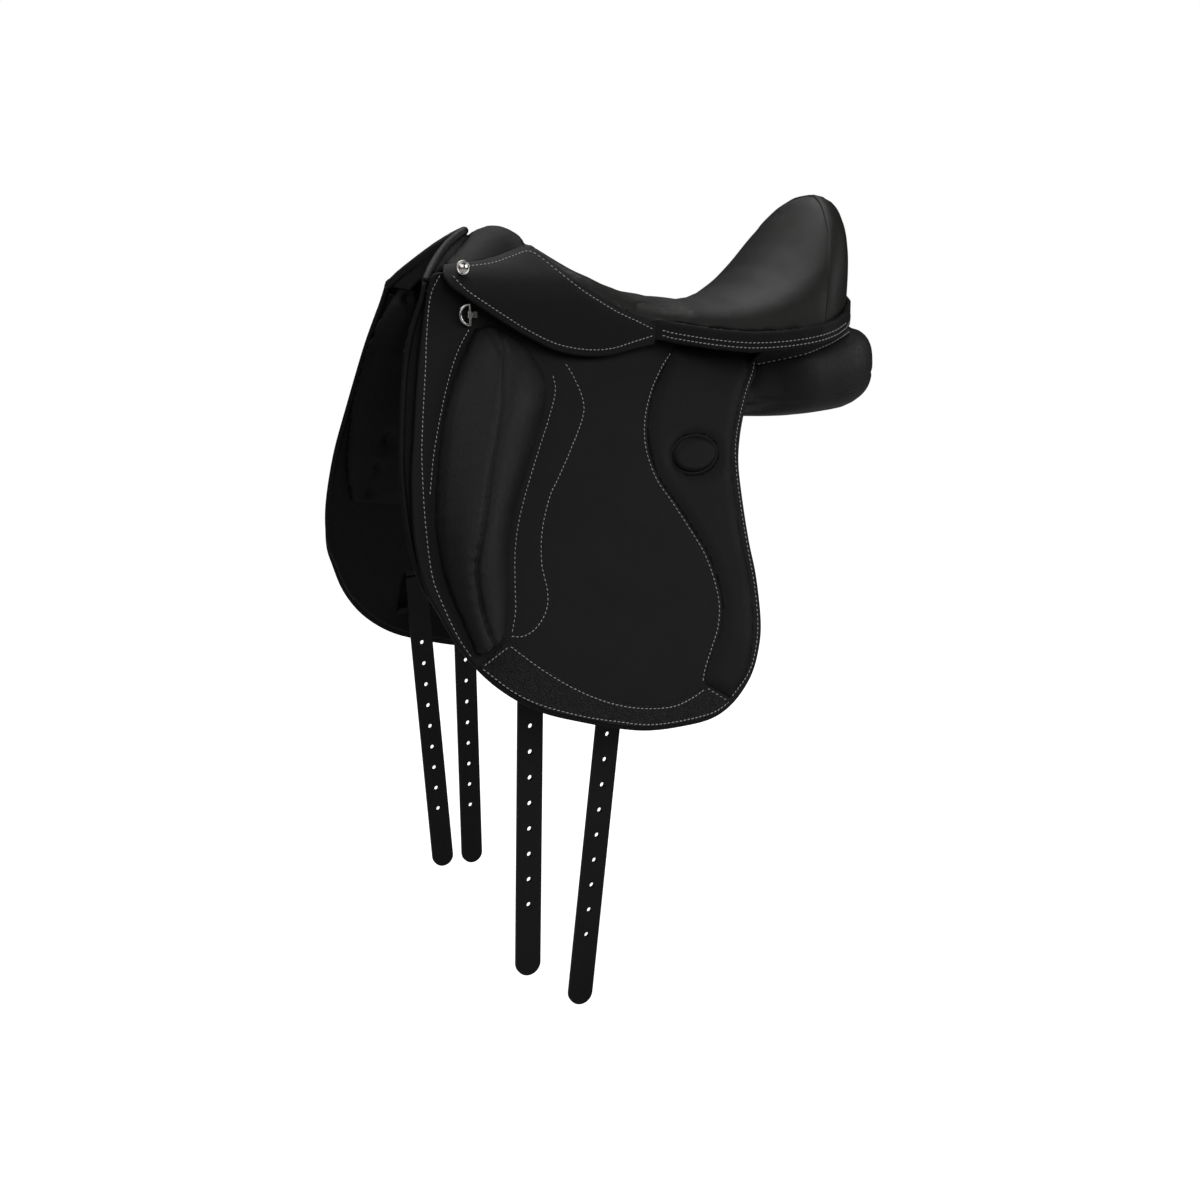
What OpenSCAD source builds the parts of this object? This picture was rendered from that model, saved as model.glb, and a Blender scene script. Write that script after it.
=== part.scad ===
// Dressage saddle: tree, padded seat, skirts, flaps, panels, sweat flaps,
// stirrup bars and girth straps. +X is forward, +Y is the near (left) side,
// +Z is up. Z = 0 is the line on which the rear panels bear on the back.

/* [Flap] */
// Foremost reach of the flap
flap_front = 283; // [270:1:296]
// Depth of the flap's lowest point below the bearing line
flap_drop = 281; // [255:1:310]
// Distance of the flap's waist behind the origin
flap_waist = 66; // [56:1:80]
// Thickness of the flap, measured sideways
flap_thick = 5; // [3:0.5:5.5]
// Half width of the saddle at the top of the flaps
flap_half_width = 73; // [70:0.5:78]
// Sideways flare of the hanging flap, per unit of height
flap_flare = 0.45; // [0.38:0.01:0.52]
// Lift of the raised flap pad behind the leg
calf_pad_thick = 3.5; // [2:0.5:6]
// Thickness of the grained wear strip along the flap's foot
wear_thick = 1.5; // [1:0.25:3]
// Width of the wear strip
wear_width = 22; // [16:1:30]

/* [Knee block] */
// Greatest height of the knee block above the flap
block_height = 34; // [24:1:42]
// Height of the block at its lower end
block_foot = 12; // [8:1:18]
// Depth of the sewn channel between the block's two lobes
block_channel = 4; // [2:0.5:7]

/* [Sweat flap] */
// Reach of the sweat flap beyond the flap's front edge
sweat_lead = 10; // [0:1:12]
// Thickness of the sweat flap, measured sideways
sweat_thick = 3.5; // [2.5:0.5:4.5]
// Height of a girth strap slot
slot_height = 44; // [40:1:52]
// Room in a slot beside its strap
slot_room = 4.5; // [3.5:0.5:8]

/* [Skirt] */
// Thickness of the skirt leather
skirt_thick = 4; // [3:0.5:5]
// Room between the stirrup bar and the skirt over it
skirt_room = 4; // [3:0.5:8]
// Depth of the strip below the seat's rear edge
strip_depth = 20; // [14:1:24]
// Thickness of the strip
strip_thick = 4.5; // [3:0.5:6]

/* [Seat] */
// Height of the deepest point of the seat
seat_low = 123; // [116:1:130]
// Height of the cantle
cantle_top = 238; // [225:1:250]
// Height of the pommel
pommel_top = 194; // [190:1:200]
// Half width of the seat at its widest
seat_half_width = 122; // [116:1:128]
// Thickness of the seat leather
cover_thick = 3; // [2:0.5:5]
// Thickness of the cantle strip's leather
cantle_strip_thick = 1.5; // [1:0.25:2.5]

/* [Panel] */
// Half width of the gullet channel between the panels
gullet_half = 32; // [28:1:36]
// Half width of a panel's rear lobe
lobe_half_width = 45; // [40:1:48]
// Height of the gusset band at the foot of the rear lobe
gusset_height = 17; // [8:1:22]
// Fullness of the front panel pad
front_pad_thick = 20; // [12:1:26]

/* [Girth straps] */
// Width of a girth strap
strap_width = 25; // [22:0.5:30]
// Thickness of a girth strap
strap_thick = 4; // [3:0.25:4.5]
// Distance between strap holes
hole_pitch = 25; // [20:0.5:30]
// Diameter of a strap hole
hole_diameter = 5; // [4:0.25:7]
// Number of holes in a strap
hole_count = 9; // [6:1:10]
// Plain leather below the last hole
strap_tip = 71; // [45:1:80]
// Length of the strap that hangs below its slot
strap_hang = 338; // [300:1:380]
// Extra drop of the near rear strap
long_strap_extra = 42; // [0:1:60]
// Extra drop of the off straps
off_strap_extra = 9; // [0:1:20]

/* [Stirrup bar] */
// Diameter of the stirrup bar
bar_diameter = 9; // [7:0.5:10]
// Length of the stirrup bar's finger
bar_length = 62; // [50:1:70]
// Gap between the bar and its back plate
bar_gap = 7; // [6:0.25:8]
// Thickness of the bar's back plate
plate_thick = 3; // [2:0.25:4]

/* [Fittings] */
// Diameter of the saddle stud's head
stud_diameter = 14; // [10:0.5:18]
// Wire thickness of the dee
dee_wire = 3; // [2:0.25:3.5]
// Height of the dee inside its wire
dee_opening = 17; // [14:0.5:20]

/* [Tree] */
// Thickness of the tree's rails
tree_thick = 11; // [8:0.5:14]
// Thickness of the steel head plate
plate_steel = 4; // [3:0.25:5]
// Thickness of the seat webbing
web_thick = 2.4; // [1.5:0.1:2.8]
// Thickness of the tree springs
spring_thick = 2; // [1.5:0.1:2.5]

/* [Hidden] */
$fn = 48;

leather = [0.07, 0.07, 0.072];
lining = [0.09, 0.085, 0.085];
grained = [0.11, 0.11, 0.11];
steel = [0.75, 0.75, 0.76];
timber = [0.72, 0.55, 0.36];
webbing = [0.80, 0.78, 0.70];
foam = [0.85, 0.82, 0.70];

// Clearance between pieces that lie on each other
lay = 0.3;
// Gap left in the leather along a fold line of the flap and of the skirt
fold_gap = 0.8;
skirt_fold_gap = 1.7;

// Curves: a smooth run through hand-chosen points
function lerp(a, b, t) = a + (b - a) * t;
function bend(a, b, c, d, t) = 0.5 * (2 * b + (c - a) * t + (2 * a - 5 * b + 4 * c - d) * t * t
    + (3 * b - a - 3 * c + d) * t * t * t);
function on_curve(p, u) = let (last = len(p) - 1, s = min(max(u, 0), last), i = min(floor(s), last - 1))
    bend(p[max(i - 1, 0)], p[i], p[i + 1], p[min(i + 2, last)], s - i);
function curve(p, steps) = [for (k = [0 : (len(p) - 1) * steps]) on_curve(p, k / steps)];
function reversed(l) = [for (i = [len(l) - 1 : -1 : 0]) l[i]];
function unit(v) = v / norm(v);
function signed_pow(v, p) = v < 0 ? -pow(-v, p) : pow(v, p);

// The flap's sideways section: upright at the top, flaring below the bend
bend_z = 73;
bend_soft = 22;
function flap_y(z) = flap_half_width + flap_flare * bend_soft * ln(1 + exp((bend_z - z) / bend_soft));
section_z = concat([for (z = [190 : -10 : -20]) z], [-360]);
far_side = 400;

// A solid with the flap's section between two sideways offsets
module slab(inner, outer, x0 = -300, x1 = 320)
    translate([x0, 0, 0]) rotate([90, 0, 90]) linear_extrude(x1 - x0)
        polygon(concat([for (z = section_z) [flap_y(z) + inner, z]],
            [for (z = reversed(section_z)) [flap_y(z) + outer, z]]));
// A prism along Y from an outline in X and Z
module side_prism(outline, y0 = -far_side, y1 = far_side)
    translate([0, y1, 0]) rotate([90, 0, 0]) linear_extrude(y1 - y0) polygon(outline);
// Leather cut to an outline and laid on the flap's section
module sheet(outline, inner, outer) intersection() {
    side_prism(outline, 0);
    slab(inner, outer);
}
module on_side(side) if (side > 0) children(); else mirror([0, 1, 0]) children();

// A closed solid through rings of equal length, in triangles
// Layers that lie on each other take opposite diagonals, because their rings run opposite ways
function middle(r) = [for (k = [0 : 2]) let (s = [for (p = r) p[k]]) s * [for (p = r) 1] / len(r)];
function ring_sides(n, m, other) = [for (i = [0 : m - 2], j = [0 : n - 1])
    let (a = i * n + j, b = i * n + (j + 1) % n)
    each other ? [[a, b, a + n], [b, b + n, a + n]] : [[a, b, b + n], [a, b + n, a + n]]];
module loft(rings, other_diagonal = false) {
    n = len(rings[0]);
    m = len(rings);
    fans = [for (j = [0 : n - 1]) let (k = (j + 1) % n)
        each [[m * n, k, j], [m * n + 1, (m - 1) * n + j, (m - 1) * n + k]]];
    polyhedron(concat([for (r = rings) each r], [middle(rings[0]), middle(rings[m - 1])]),
        concat(ring_sides(n, m, other_diagonal), fans), convexity = 8);
}
// The same for a bent sheet: each ring runs along one face and back along the other
module shell(rings, other_diagonal = false) {
    n = len(rings[0]);
    m = len(rings);
    last = (m - 1) * n;
    ends = [for (j = [0 : n / 2 - 2]) let (k = n - 1 - j) each [[j + 1, j, k], [j + 1, k, k - 1],
        [last + j, last + j + 1, last + k], [last + j + 1, last + k - 1, last + k]]];
    polyhedron([for (r = rings) each r], concat(ring_sides(n, m, other_diagonal), ends), convexity = 8);
}

// Layers of the flap, counted sideways from the flap's outer face
layer_gap = 0.5;
strap_out = -flap_thick - layer_gap;
strap_in = strap_out - strap_thick;
sweat_out = strap_in - layer_gap;
sweat_in = sweat_out - sweat_thick;
pad_out = sweat_in - lay;

// The line along which the flap folds up, at its outer face
fold_front = [flap_front - 44, 128];
fold_rear = [-flap_waist - 47, 47];
// The line along which the skirt folds up
skirt_fold_front = [226, 139];
skirt_fold_rear = [6, 95];

flap_edge = [fold_front, [flap_front - 32, 70], [flap_front - 16, -3], [flap_front - 6, -48],
    [flap_front, -100], [flap_front - 3, -flap_drop + 141], [flap_front - 13, -flap_drop + 114],
    [flap_front - 27, -flap_drop + 85], [flap_front - 47, -flap_drop + 59],
    [flap_front - 71, -flap_drop + 39],
    [184, -flap_drop + 24], [148, -flap_drop + 13], [116, -flap_drop + 5], [85, -flap_drop],
    [51, -flap_drop], [15, -flap_drop + 4],
    [-flap_waist + 53, -flap_drop + 16], [-flap_waist + 29, -flap_drop + 37],
    [-flap_waist + 14, -flap_drop + 61], [-flap_waist + 5, -flap_drop + 87], [-flap_waist, -152],
    [-flap_waist, -120], [-flap_waist - 2, -82], [-flap_waist - 6, -45], [-flap_waist - 14, -18],
    [-flap_waist - 26, 9], [-flap_waist - 37, 30], fold_rear];
flap_outline = curve(flap_edge, 3);
// Points of the flap's edge at which the knee ends, the foot starts and ends, and the waist starts
knee_end = 6;
foot_start = 9;
foot_end = 16;
waist_start = 20;
flap_top_outline = concat([fold_front + [0, fold_gap], fold_rear + [0, fold_gap]],
    [[-flap_waist - 50, 71], [-60, 72.5], [-20, 79], [0, 90], [30, 103], [60, 116], [88, 128],
        [108, 135], [138, 137], [196, 136], [flap_front - 54, 138]]);
fold_slope = (fold_front[1] - fold_rear[1]) / (fold_front[0] - fold_rear[0]);

// Stirrup bar: its finger lies between the two fold lines
bar_x = 150;
bar_z = 114;
bar_tilt = atan(fold_slope);
plate_y = flap_half_width - flap_thick - 1.5;
bar_y = plate_y + bar_gap + bar_diameter / 2;
skirt_half_width = bar_y + bar_diameter / 2 + skirt_room;

module flap_top_sheet() difference() {
    sheet(flap_top_outline, -flap_thick, 0);
    bar_frame() translate([-bar_length - 12, -30, -40]) cube([bar_length + 30, 60, 52]);
    stud_hole();
}
// Origin at the front of the bar's finger, with -X along it to the rear
module bar_frame() translate([bar_x, bar_y, bar_z]) rotate([0, -bar_tilt, 0]) children();

// Saddle stud and its hole
stud_x = 208;
stud_z = 147;
shank = 3;
shank_length = 11;
module stud_hole() translate([stud_x, 0, stud_z]) rotate([-90, 0, 0]) cylinder(d = shank + 0.3, h = 200);
module stud() color(steel)
    translate([stud_x, skirt_face(stud_z - stud_diameter / 2), stud_z]) rotate([-90, 0, 0]) {
    rotate_extrude() polygon(concat([[0, 0.2], [stud_diameter / 2, 0.2], [stud_diameter / 2, 1.4]],
        [for (a = [15 : 15 : 75]) [stud_diameter / 2 * cos(a), 1.4 + 2 * sin(a)]], [[0, 3.4]]));
    translate([0, 0, -shank_length]) cylinder(d = shank, h = shank_length + 0.6);
}

// Flap and what is sewn on it
module flap(side) color(leather) on_side(side) sheet(flap_outline, -flap_thick, 0);
module flap_top(side) color(leather) on_side(side) flap_top_sheet();

pad_front = [[-17, 60], [-4, 50], [11, 30], [23, 2], [28, -26], [23, -55], [11, -77], [-2, -102],
    [-15, -131], [-20, -168], [-14, -194], [-2, -flap_drop + 67], [12, -flap_drop + 48]];
pad_margin = 7;
pad_rear = [for (i = [foot_end : len(flap_edge) - 1])
    flap_edge[i] + [pad_margin, i < waist_start - 1 ? pad_margin : 0]];
pad_outline = concat(curve(pad_front, 2), [for (p = curve(pad_rear, 2)) if (p[1] < 40) p],
    [[-flap_waist - 28, 48]]);
module calf_pad(side) color(leather) on_side(side) difference() {
    sheet(pad_outline, lay, calf_pad_thick);
    badge_solid(-1, 20, lay);
}

badge_at = [-22, -33];
badge_size = [52, 34];
badge_tilt = 14;
module badge_solid(inner, outer, grow = 0) intersection() {
    translate([badge_at[0], 0, badge_at[1]]) rotate([0, -badge_tilt, 0])
        oval_prism(badge_size[0] + 2 * grow, badge_size[1] + 2 * grow);
    slab(inner, outer);
}
module oval_prism(w, h) side_prism([for (a = [0 : 10 : 350]) [w / 2 * cos(a), h / 2 * sin(a)]], 0);
module badge(side) color(leather) on_side(side) badge_solid(lay, calf_pad_thick + 1.2);

// Knee block: rings across the block, from its top to its foot
block_lead = [[195, 91], [215, 57], [233, 21], [247, -20], [258, -62], [264, -98], [262, -138], [253, -170],
    [243, -204]];
block_trail = [[176, 95], [140, 72], [124, 36], [138, 0], [157, -36], [178, -76], [191, -112], [199, -150],
    [210, -188]];
block_rise = [[0.16], [0.72], [0.97], [1], [0.98], [0.9], [0.72], [0.5], [block_foot / block_height]];
// Share of the width, from the front, at which the sewn channel runs
block_seam = [[0.5], [0.53], [0.43], [0.41], [0.43], [0.44], [0.32], [0.3], [0.42]];
lobe_steps = 6;
function block_profile(s) = pow(sin(180 * pow(s, 0.88)), 0.72);
function block_share(k, seam) = k < lobe_steps ? seam * k / lobe_steps
    : seam + (1 - seam) * (k - lobe_steps) / lobe_steps;
function block_ring(u) = let (a = on_curve(block_lead, u), b = on_curve(block_trail, u),
    seam = on_curve(block_seam, u)[0], h = block_height * on_curve(block_rise, u)[0], last = 2 * lobe_steps)
    concat([for (k = [0 : last]) let (p = lerp(a, b, block_share(k, seam)))
        [p[0], flap_y(p[1]) + lay + 0.2, p[1]]],
        [for (k = [last - 1 : -1 : 1]) let (s = block_share(k, seam), p = lerp(a, b, s),
            pulled = k == lobe_steps ? min(block_channel, h * 0.4) : 0)
            [p[0], flap_y(p[1]) + 1 + lay + h * block_profile(s) - pulled, p[1]]]);
module knee_block(side) color(leather) on_side(side)
    loft([for (u = [0 : 0.5 : len(block_lead) - 1]) reversed(block_ring(u))]);

// Wear strip along the flap's foot
wear_outer = [for (i = [foot_start - 1 : foot_end]) flap_edge[i] + [i < foot_end - 4 ? -2 : 0, 3]];
wear_inner = [for (i = [0 : len(wear_outer) - 1]) let (a = wear_outer[max(i - 1, 0)],
    b = wear_outer[min(i + 1, len(wear_outer) - 1)],
        t = (b - a) / norm(b - a)) wear_outer[i] + wear_width * [t[1], -t[0]]];
// The strip starts just below the foot of the knee block
wear_start = [block_trail[len(block_trail) - 1] + [1, -7], block_lead[len(block_lead) - 1] + [-2, -8]];
module wear_strip(side) color(grained) on_side(side) difference() {
    sheet(concat([wear_start[1]], curve(wear_outer, 2), reversed(wear_inner), [wear_start[0]]), lay,
        wear_thick);
    side_prism(pad_outline, 0);
}

// Dee on its clip: the straight side of the dee turns in the clip
dee_x = 200;
dee_z = 103.5;
dee_stand = 4.3;
dee_y = flap_y(dee_z) + dee_stand;
dee_turn = dee_opening / 2 + dee_wire / 2;
module dee(side) color(steel) on_side(side) translate([dee_x, dee_y, dee_z]) {
    translate([0, 0, -dee_turn]) cylinder(d = dee_wire, h = 2 * dee_turn);
    rotate([90, 90, 0]) rotate_extrude(angle = 180) translate([dee_turn, 0]) circle(d = dee_wire);
}
clip_height = 6;
module dee_clip(side) color(steel) on_side(side) translate([dee_x, dee_y, dee_z]) difference() {
    union() {
        translate([0, 0, -clip_height / 2]) cylinder(d = dee_wire + 3.2, h = clip_height);
        translate([-7.5, -3.9, -clip_height / 2]) cube([8, 3.4, clip_height]);
    }
    translate([0, 0, -clip_height]) cylinder(d = dee_wire + 0.12, h = 2 * clip_height);
}

// Sweat flap with two slots for the girth straps
// It leads the flap at the knee, draws level lower down and ends short of the flap's foot and rear
sweat_lead_share = [0.1, 1, 1, 0.7, 0.3, 0, 0, 0, 0];
sweat_inset = 9;
sweat_rise = 7;
function sweat_shift(i) = [i < foot_start ? sweat_lead * sweat_lead_share[i] : i < foot_end ? 0 : sweat_inset,
    i < knee_end || i >= waist_start ? 0 : sweat_rise];
sweat_edge = [for (i = [0 : len(flap_edge) - 1]) flap_edge[i] + sweat_shift(i)];
sweat_outline = concat(curve(sweat_edge, 2),
    [[-flap_waist - 30, 56], [0, 68], [80, 84], [168, 103], [190, 114], [226, 124]]);
slot_top = -flap_drop + 105;
strap_x = [[181.5, 91], [173.5, 116.5]];
strap_lean = [[-1, -6.4], [4.6, 1.1]];
function strap_at(side, i) = strap_x[side > 0 ? 0 : 1][i];
function lean_at(side, i) = strap_lean[side > 0 ? 0 : 1][i];
slot_corner = 6;
module slot(x) let (half = strap_width / 2 + slot_room) side_prism([[x - half, slot_top - slot_height],
    [x + half, slot_top - slot_height], [x + half, slot_top - slot_corner],
    [x + half - slot_corner, slot_top], [x - half + slot_corner, slot_top],
    [x - half, slot_top - slot_corner]], 0);
module sweat_flap(side) color(lining) on_side(side) difference() {
    sheet(sweat_outline, sweat_in, sweat_out);
    for (i = [0, 1]) slot(strap_at(side, i));
}

// Girth straps: the root lies between the flaps, the strap hangs from the slot
hang_z = slot_top - 10;
hang_y = flap_y(hang_z + strap_thick) + strap_out - strap_thick / 2;

web_foot = 66;
function strap_drop(side, i) = strap_hang + (side < 0 ? off_strap_extra : i == 1 ? long_strap_extra : 0);
module strap_root(side, i) color(leather) on_side(side)
    sheet(let (x = strap_at(side, i), half = strap_width / 2, end = hang_z + strap_thick / 2 + 0.4,
        slant = half * tan(lean_at(side, i)))
        [[x - half, end + slant], [x + half, end - slant], [x + half, web_foot], [x - half, web_foot]],
            strap_in, strap_out);
module strap(side, i) color(leather) on_side(side) {
    drop = strap_drop(side, i);
    translate([strap_at(side, i), hang_y, hang_z]) rotate([0, lean_at(side, i), 0]) difference() {
        union() {
            translate([-strap_width / 2, 0, 0]) rotate([0, 90, 0])
                cylinder(d = strap_thick, h = strap_width);
            translate([-strap_width / 2, -strap_thick / 2, -drop + strap_width / 2])
                cube([strap_width, strap_thick, drop - strap_width / 2]);
            translate([0, strap_thick / 2, -drop + strap_width / 2]) rotate([90, 0, 0])
                cylinder(d = strap_width, h = strap_thick);
        }
        for (k = [0 : hole_count - 1]) translate([0, strap_thick, -drop + strap_tip + k * hole_pitch])
            rotate([90, 0, 0]) cylinder(d = hole_diameter, h = 2 * strap_thick);
    }
}
module girth_web(side) color(webbing) on_side(side)
    sheet([[70, web_foot], [196, web_foot], [196, web_foot + 34], [150, web_foot + 34],
        [70, web_foot + 18]], strap_in, strap_out);

// Skirt: its own section, upright over the stirrup bar and turned in at the top
skirt_section = [[skirt_half_width, 40], [skirt_half_width, 60], [skirt_half_width, 122],
    [skirt_half_width - 2.5, 130], [skirt_half_width - 7.5, 138], [skirt_half_width - 15.5, 146],
    [skirt_half_width - 24, 153], [skirt_half_width - 32.5, 160],
    [skirt_half_width - 40.5, 167], [skirt_half_width - 48, 174]];
skirt_inner = curve(skirt_section, 3);
function outward(p, i, d) = let (a = p[max(i - 1, 0)], b = p[min(i + 1, len(p) - 1)],
    t = (b - a) / norm(b - a)) p[i] + d * [t[1], -t[0]];
function skirt_offset(d) = [for (i = [0 : len(skirt_inner) - 1]) outward(skirt_inner, i, d)];
function skirt_face(z) = lookup(z, [for (p = skirt_offset(skirt_thick)) [p[1], p[0]]]);
module skirt_slab(inner = 0, outer = skirt_thick) translate([-300, 0, 0]) rotate([90, 0, 90])
    linear_extrude(620) polygon(concat(skirt_offset(inner), reversed(skirt_offset(outer))));
skirt_low_edge = [skirt_fold_front, [222, 130], [208, 119], [189, 107], [164, 92], [143, 81], [115, 69],
    [84, 63.5], [56, 64.5], [28, 71], [7, 75]];
skirt_top_edge = [[222, 152], [200, 154], [172, 159], [148, 167], [126, 173.5], [113, 164], [103, 152],
    [87, 136], [67, 123.5], [47, 113], [26, 106], [6, 99]];
module skirt(side) color(leather) on_side(side) intersection() {
    side_prism(concat(curve(skirt_low_edge, 3), [skirt_fold_rear]), 0);
    skirt_slab();
}
module skirt_top(side) color(leather) on_side(side) difference() {
    intersection() {
        side_prism(concat([skirt_fold_rear + [0, lay], skirt_fold_front + [0, lay]],
            curve(skirt_top_edge, 2)), 0);
        skirt_slab();
    }
    // The outer half stands back from the fold, so that the skirt can turn up
    intersection() {
        side_prism([skirt_fold_rear - [1, 1], skirt_fold_front - [-1, 1],
            skirt_fold_front + [1, skirt_fold_gap], skirt_fold_rear + [-1, skirt_fold_gap]], 0);
        skirt_slab(skirt_thick / 2, skirt_thick + 1);
    }
    stud_hole();
}

// Seat: arches from the centre line to the edge, from the pommel round the cantle
seat_mid = [[118, 183], [108, 174], [94, 162], [75, 148], [50, seat_low + 14], [20, seat_low + 5.5],
    [-20, seat_low + 1], [-60, seat_low], [-95, seat_low + 4], [-125, seat_low + 16], [-150, seat_low + 35],
    [-173, cantle_top - 56], [-193, cantle_top - 30], [-210, cantle_top - 9], [-225, cantle_top],
    [-236, cantle_top - 6], [-243, cantle_top - 26], [-246, 184], [-246, 158], [-246, 136]];
seat_edge = [[118, skirt_half_width - 51, 171], [111, skirt_half_width - 39, 161],
    [102, skirt_half_width - 24.5, 149],
    [86, skirt_half_width - 8.5, 135], [62, skirt_half_width - 1.5, 121], [28, skirt_half_width - 0.5, 107],
    [-15, 90, 96], [-55, seat_half_width - 24, 90], [-90, seat_half_width - 14, 87],
    [-120, seat_half_width - 6, 88],
    [-146, seat_half_width - 1, 91], [-166, seat_half_width, 95], [-184, seat_half_width - 4, 100.5],
    [-200, seat_half_width - 13, 107.5], [-213, seat_half_width - 26, 115],
    [-224, seat_half_width - 42, 122],
    [-233, 60, 127], [-239, 40, 130], [-243, 21, 131.5], [-245, 5, 132]];
seat_last = len(seat_mid) - 1;
seat_fullness = 0.86;
seat_arch = [for (a = [-90 : 11.25 : 90]) a];
function seat_skin(u, a) = let (m = on_curve(seat_mid, u), e = on_curve(seat_edge, u),
    c = pow(max(cos(a), 0), seat_fullness))
    [lerp(e[0], m[0], c), e[1] * signed_pow(sin(a), seat_fullness), lerp(e[2], m[1], c)];
slip = 0.05;
turn = 2;
function seat_outward(u, a) = unit(cross(seat_skin(u, min(a + turn, 90)) - seat_skin(u, max(a - turn, -90)),
    seat_skin(min(u + slip, seat_last), a) - seat_skin(max(u - slip, 0), a)));
function seat_point(u, a, sink) = seat_skin(u, a) - sink * seat_outward(u, a);
function seat_arc(u, sink) = [for (a = seat_arch) seat_point(u, a, sink)];
seat_steps = [for (u = [0 : 1 : seat_last]) u];
module seat_cover() color(leather)
    shell([for (u = seat_steps) concat(seat_arc(u, cover_thick), reversed(seat_arc(u, 0)))]);
// The foam stops short of the cover and stands on the tree's level
foam_gap = 0.8;
function foam_ring(u) = let (arc = seat_arc(u, cover_thick + foam_gap), z = on_curve(seat_edge, u)[2] + 0.4)
    concat([for (p = arc) [p[0], p[1], max(p[2], z + 0.4)]],
        [for (k = [3 : -1 : -3]) let (p = arc[k < 0 ? 0 : len(arc) - 1])
        [p[0], abs(p[1]) * k / 4, z]]);
module seat_foam() color(foam) loft([for (u = [0 : 17]) reversed(foam_ring(u))], true);
strip_span = [14, 16];
strip_steps = 2;
module cantle_strip() color(leather)
    shell([for (k = [0 : strip_steps]) let (u = lerp(strip_span[0], strip_span[1], k / strip_steps))
        concat(seat_arc(u, -lay), reversed(seat_arc(u, -cantle_strip_thick - lay)))], true);

// Strip round the foot of the seat, from skirt to skirt behind the cantle
strip_path = [for (u = concat([5.57], [for (k = [6 : 18]) k], [18.7])) on_curve(seat_edge, u)];
function other_side(l) = [for (p = reversed(l)) [p[0], -p[1], p[2]]];
strip_line = concat(strip_path, other_side(strip_path));
strip_stand = cantle_strip_thick + 2 * lay;
strip_lip = 2;
function strip_ring(i) = let (a = strip_line[max(i - 1, 0)],
    b = strip_line[min(i + 1, len(strip_line) - 1)],
    t = [b[0] - a[0], b[1] - a[1]], n = [t[1], -t[0]] / norm(t), p = strip_line[i])
    [for (c = [[0, -strip_depth], [strip_thick, -strip_depth], [strip_thick, -strip_depth / 2],
        [strip_thick, 0], [0, strip_lip]])
        [p[0] + n[0] * (strip_stand + c[0]), p[1] + n[1] * (strip_stand + c[0]), p[2] + c[1]]];
module rear_strip() color(leather) loft([for (i = [0 : len(strip_line) - 1]) strip_ring(i)]);

// Pommel cap and the roll along the front edge
cap_mid = [[121, pommel_top - 9], [133, pommel_top - 2], [147, pommel_top], [158, pommel_top - 3],
    [168, pommel_top - 7]];
cap_edge = [[124, 44, 164], [140, 44, 158], [160, 49, 153], [190, 52, 149], [225, 51, 142]];
// The cap is round behind and runs to a steep arch in front
cap_round = [[2.2], [2], [1.7], [1.3], [0.8]];
cap_shares = [for (k = [-6 : 6]) k / 6];
// Depth of the cap's stuffing on the centre line, and its thickness at the sides
cap_depth = [[10], [12], [13.3], [7.5], [5]];
cap_side = 5;
function cap_point(u, s, side, depth) = let (m = on_curve(cap_mid, u), e = on_curve(cap_edge, u),
        drop = pow(abs(s), on_curve(cap_round, u)[0]))
    [lerp(m[0], e[0], drop), (e[1] - side) * s, lerp(m[1] - depth, e[2], drop)];
function cap_ring(u) = concat([for (s = cap_shares) cap_point(u, s, 0, 0)],
    [for (s = reversed(cap_shares)) cap_point(u, s, cap_side, on_curve(cap_depth, u)[0])]);
module pommel_cap() color(leather) shell([for (u = [0 : 0.5 : 4]) cap_ring(u)]);

roll_radius = 4.5;
roll_path = [[237, 59, 134], [228, 47, 145.5], [215, 31, 158.5], [199, 16, 172.5], [184, 7, 182.5],
    [175, 0, 187.5]];
roll_half = [for (i = [0 : len(roll_path) - 2]) roll_path[i]];
roll_line = curve(concat(roll_path, other_side(roll_half)), 2);
function roll_ring(i) = let (t = unit(roll_line[min(i + 1, len(roll_line) - 1)] - roll_line[max(i - 1, 0)]),
        s = unit(cross(t, [1, 0, 0.6])), n = cross(s, t))
    [for (a = [0 : 36 : 324]) roll_line[i] + roll_radius * (s * cos(a) + n * sin(a))];
module front_roll() color(leather) loft([for (i = [0 : len(roll_line) - 1]) roll_ring(i)]);

// Head plate: a steel arch whose legs lie inside the sweat flaps
leg_out = sweat_in - lay;
leg_foot = 62;
leg_head = 110;
arch_top = 176.5;
arch_rise = [[51, 126], [44, 141], [36, 154], [26, 165], [13, arch_top]];
function arch_line(d) = concat([for (z = [leg_foot : 12 : leg_head]) [flap_y(z) + leg_out - d, z]],
    [for (p = arch_rise) p - d * [0.4, 0.9]]);
module arch_slab(outer, inner) translate([100, 0, 0]) rotate([90, 0, 90]) linear_extrude(160)
    polygon(concat(arch_line(outer), [for (p = reversed(arch_line(outer))) [-p[0], p[1]]],
        [for (p = arch_line(inner)) [-p[0], p[1]]], reversed(arch_line(inner))));
module head_plate() color(steel) difference() {
    intersection() {
        arch_slab(0, plate_steel);
        side_prism([[138, 190], [158, 190], [222, 61], [196, 61]]);
    }
    rivet_places(1.05);
}
module gullet_lining() color(lining) intersection() {
    arch_slab(plate_steel + lay, plate_steel + lay + 2);
    side_prism([[161, 182], [164, 180], [214, 140], [181, 140]]);
}

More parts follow.
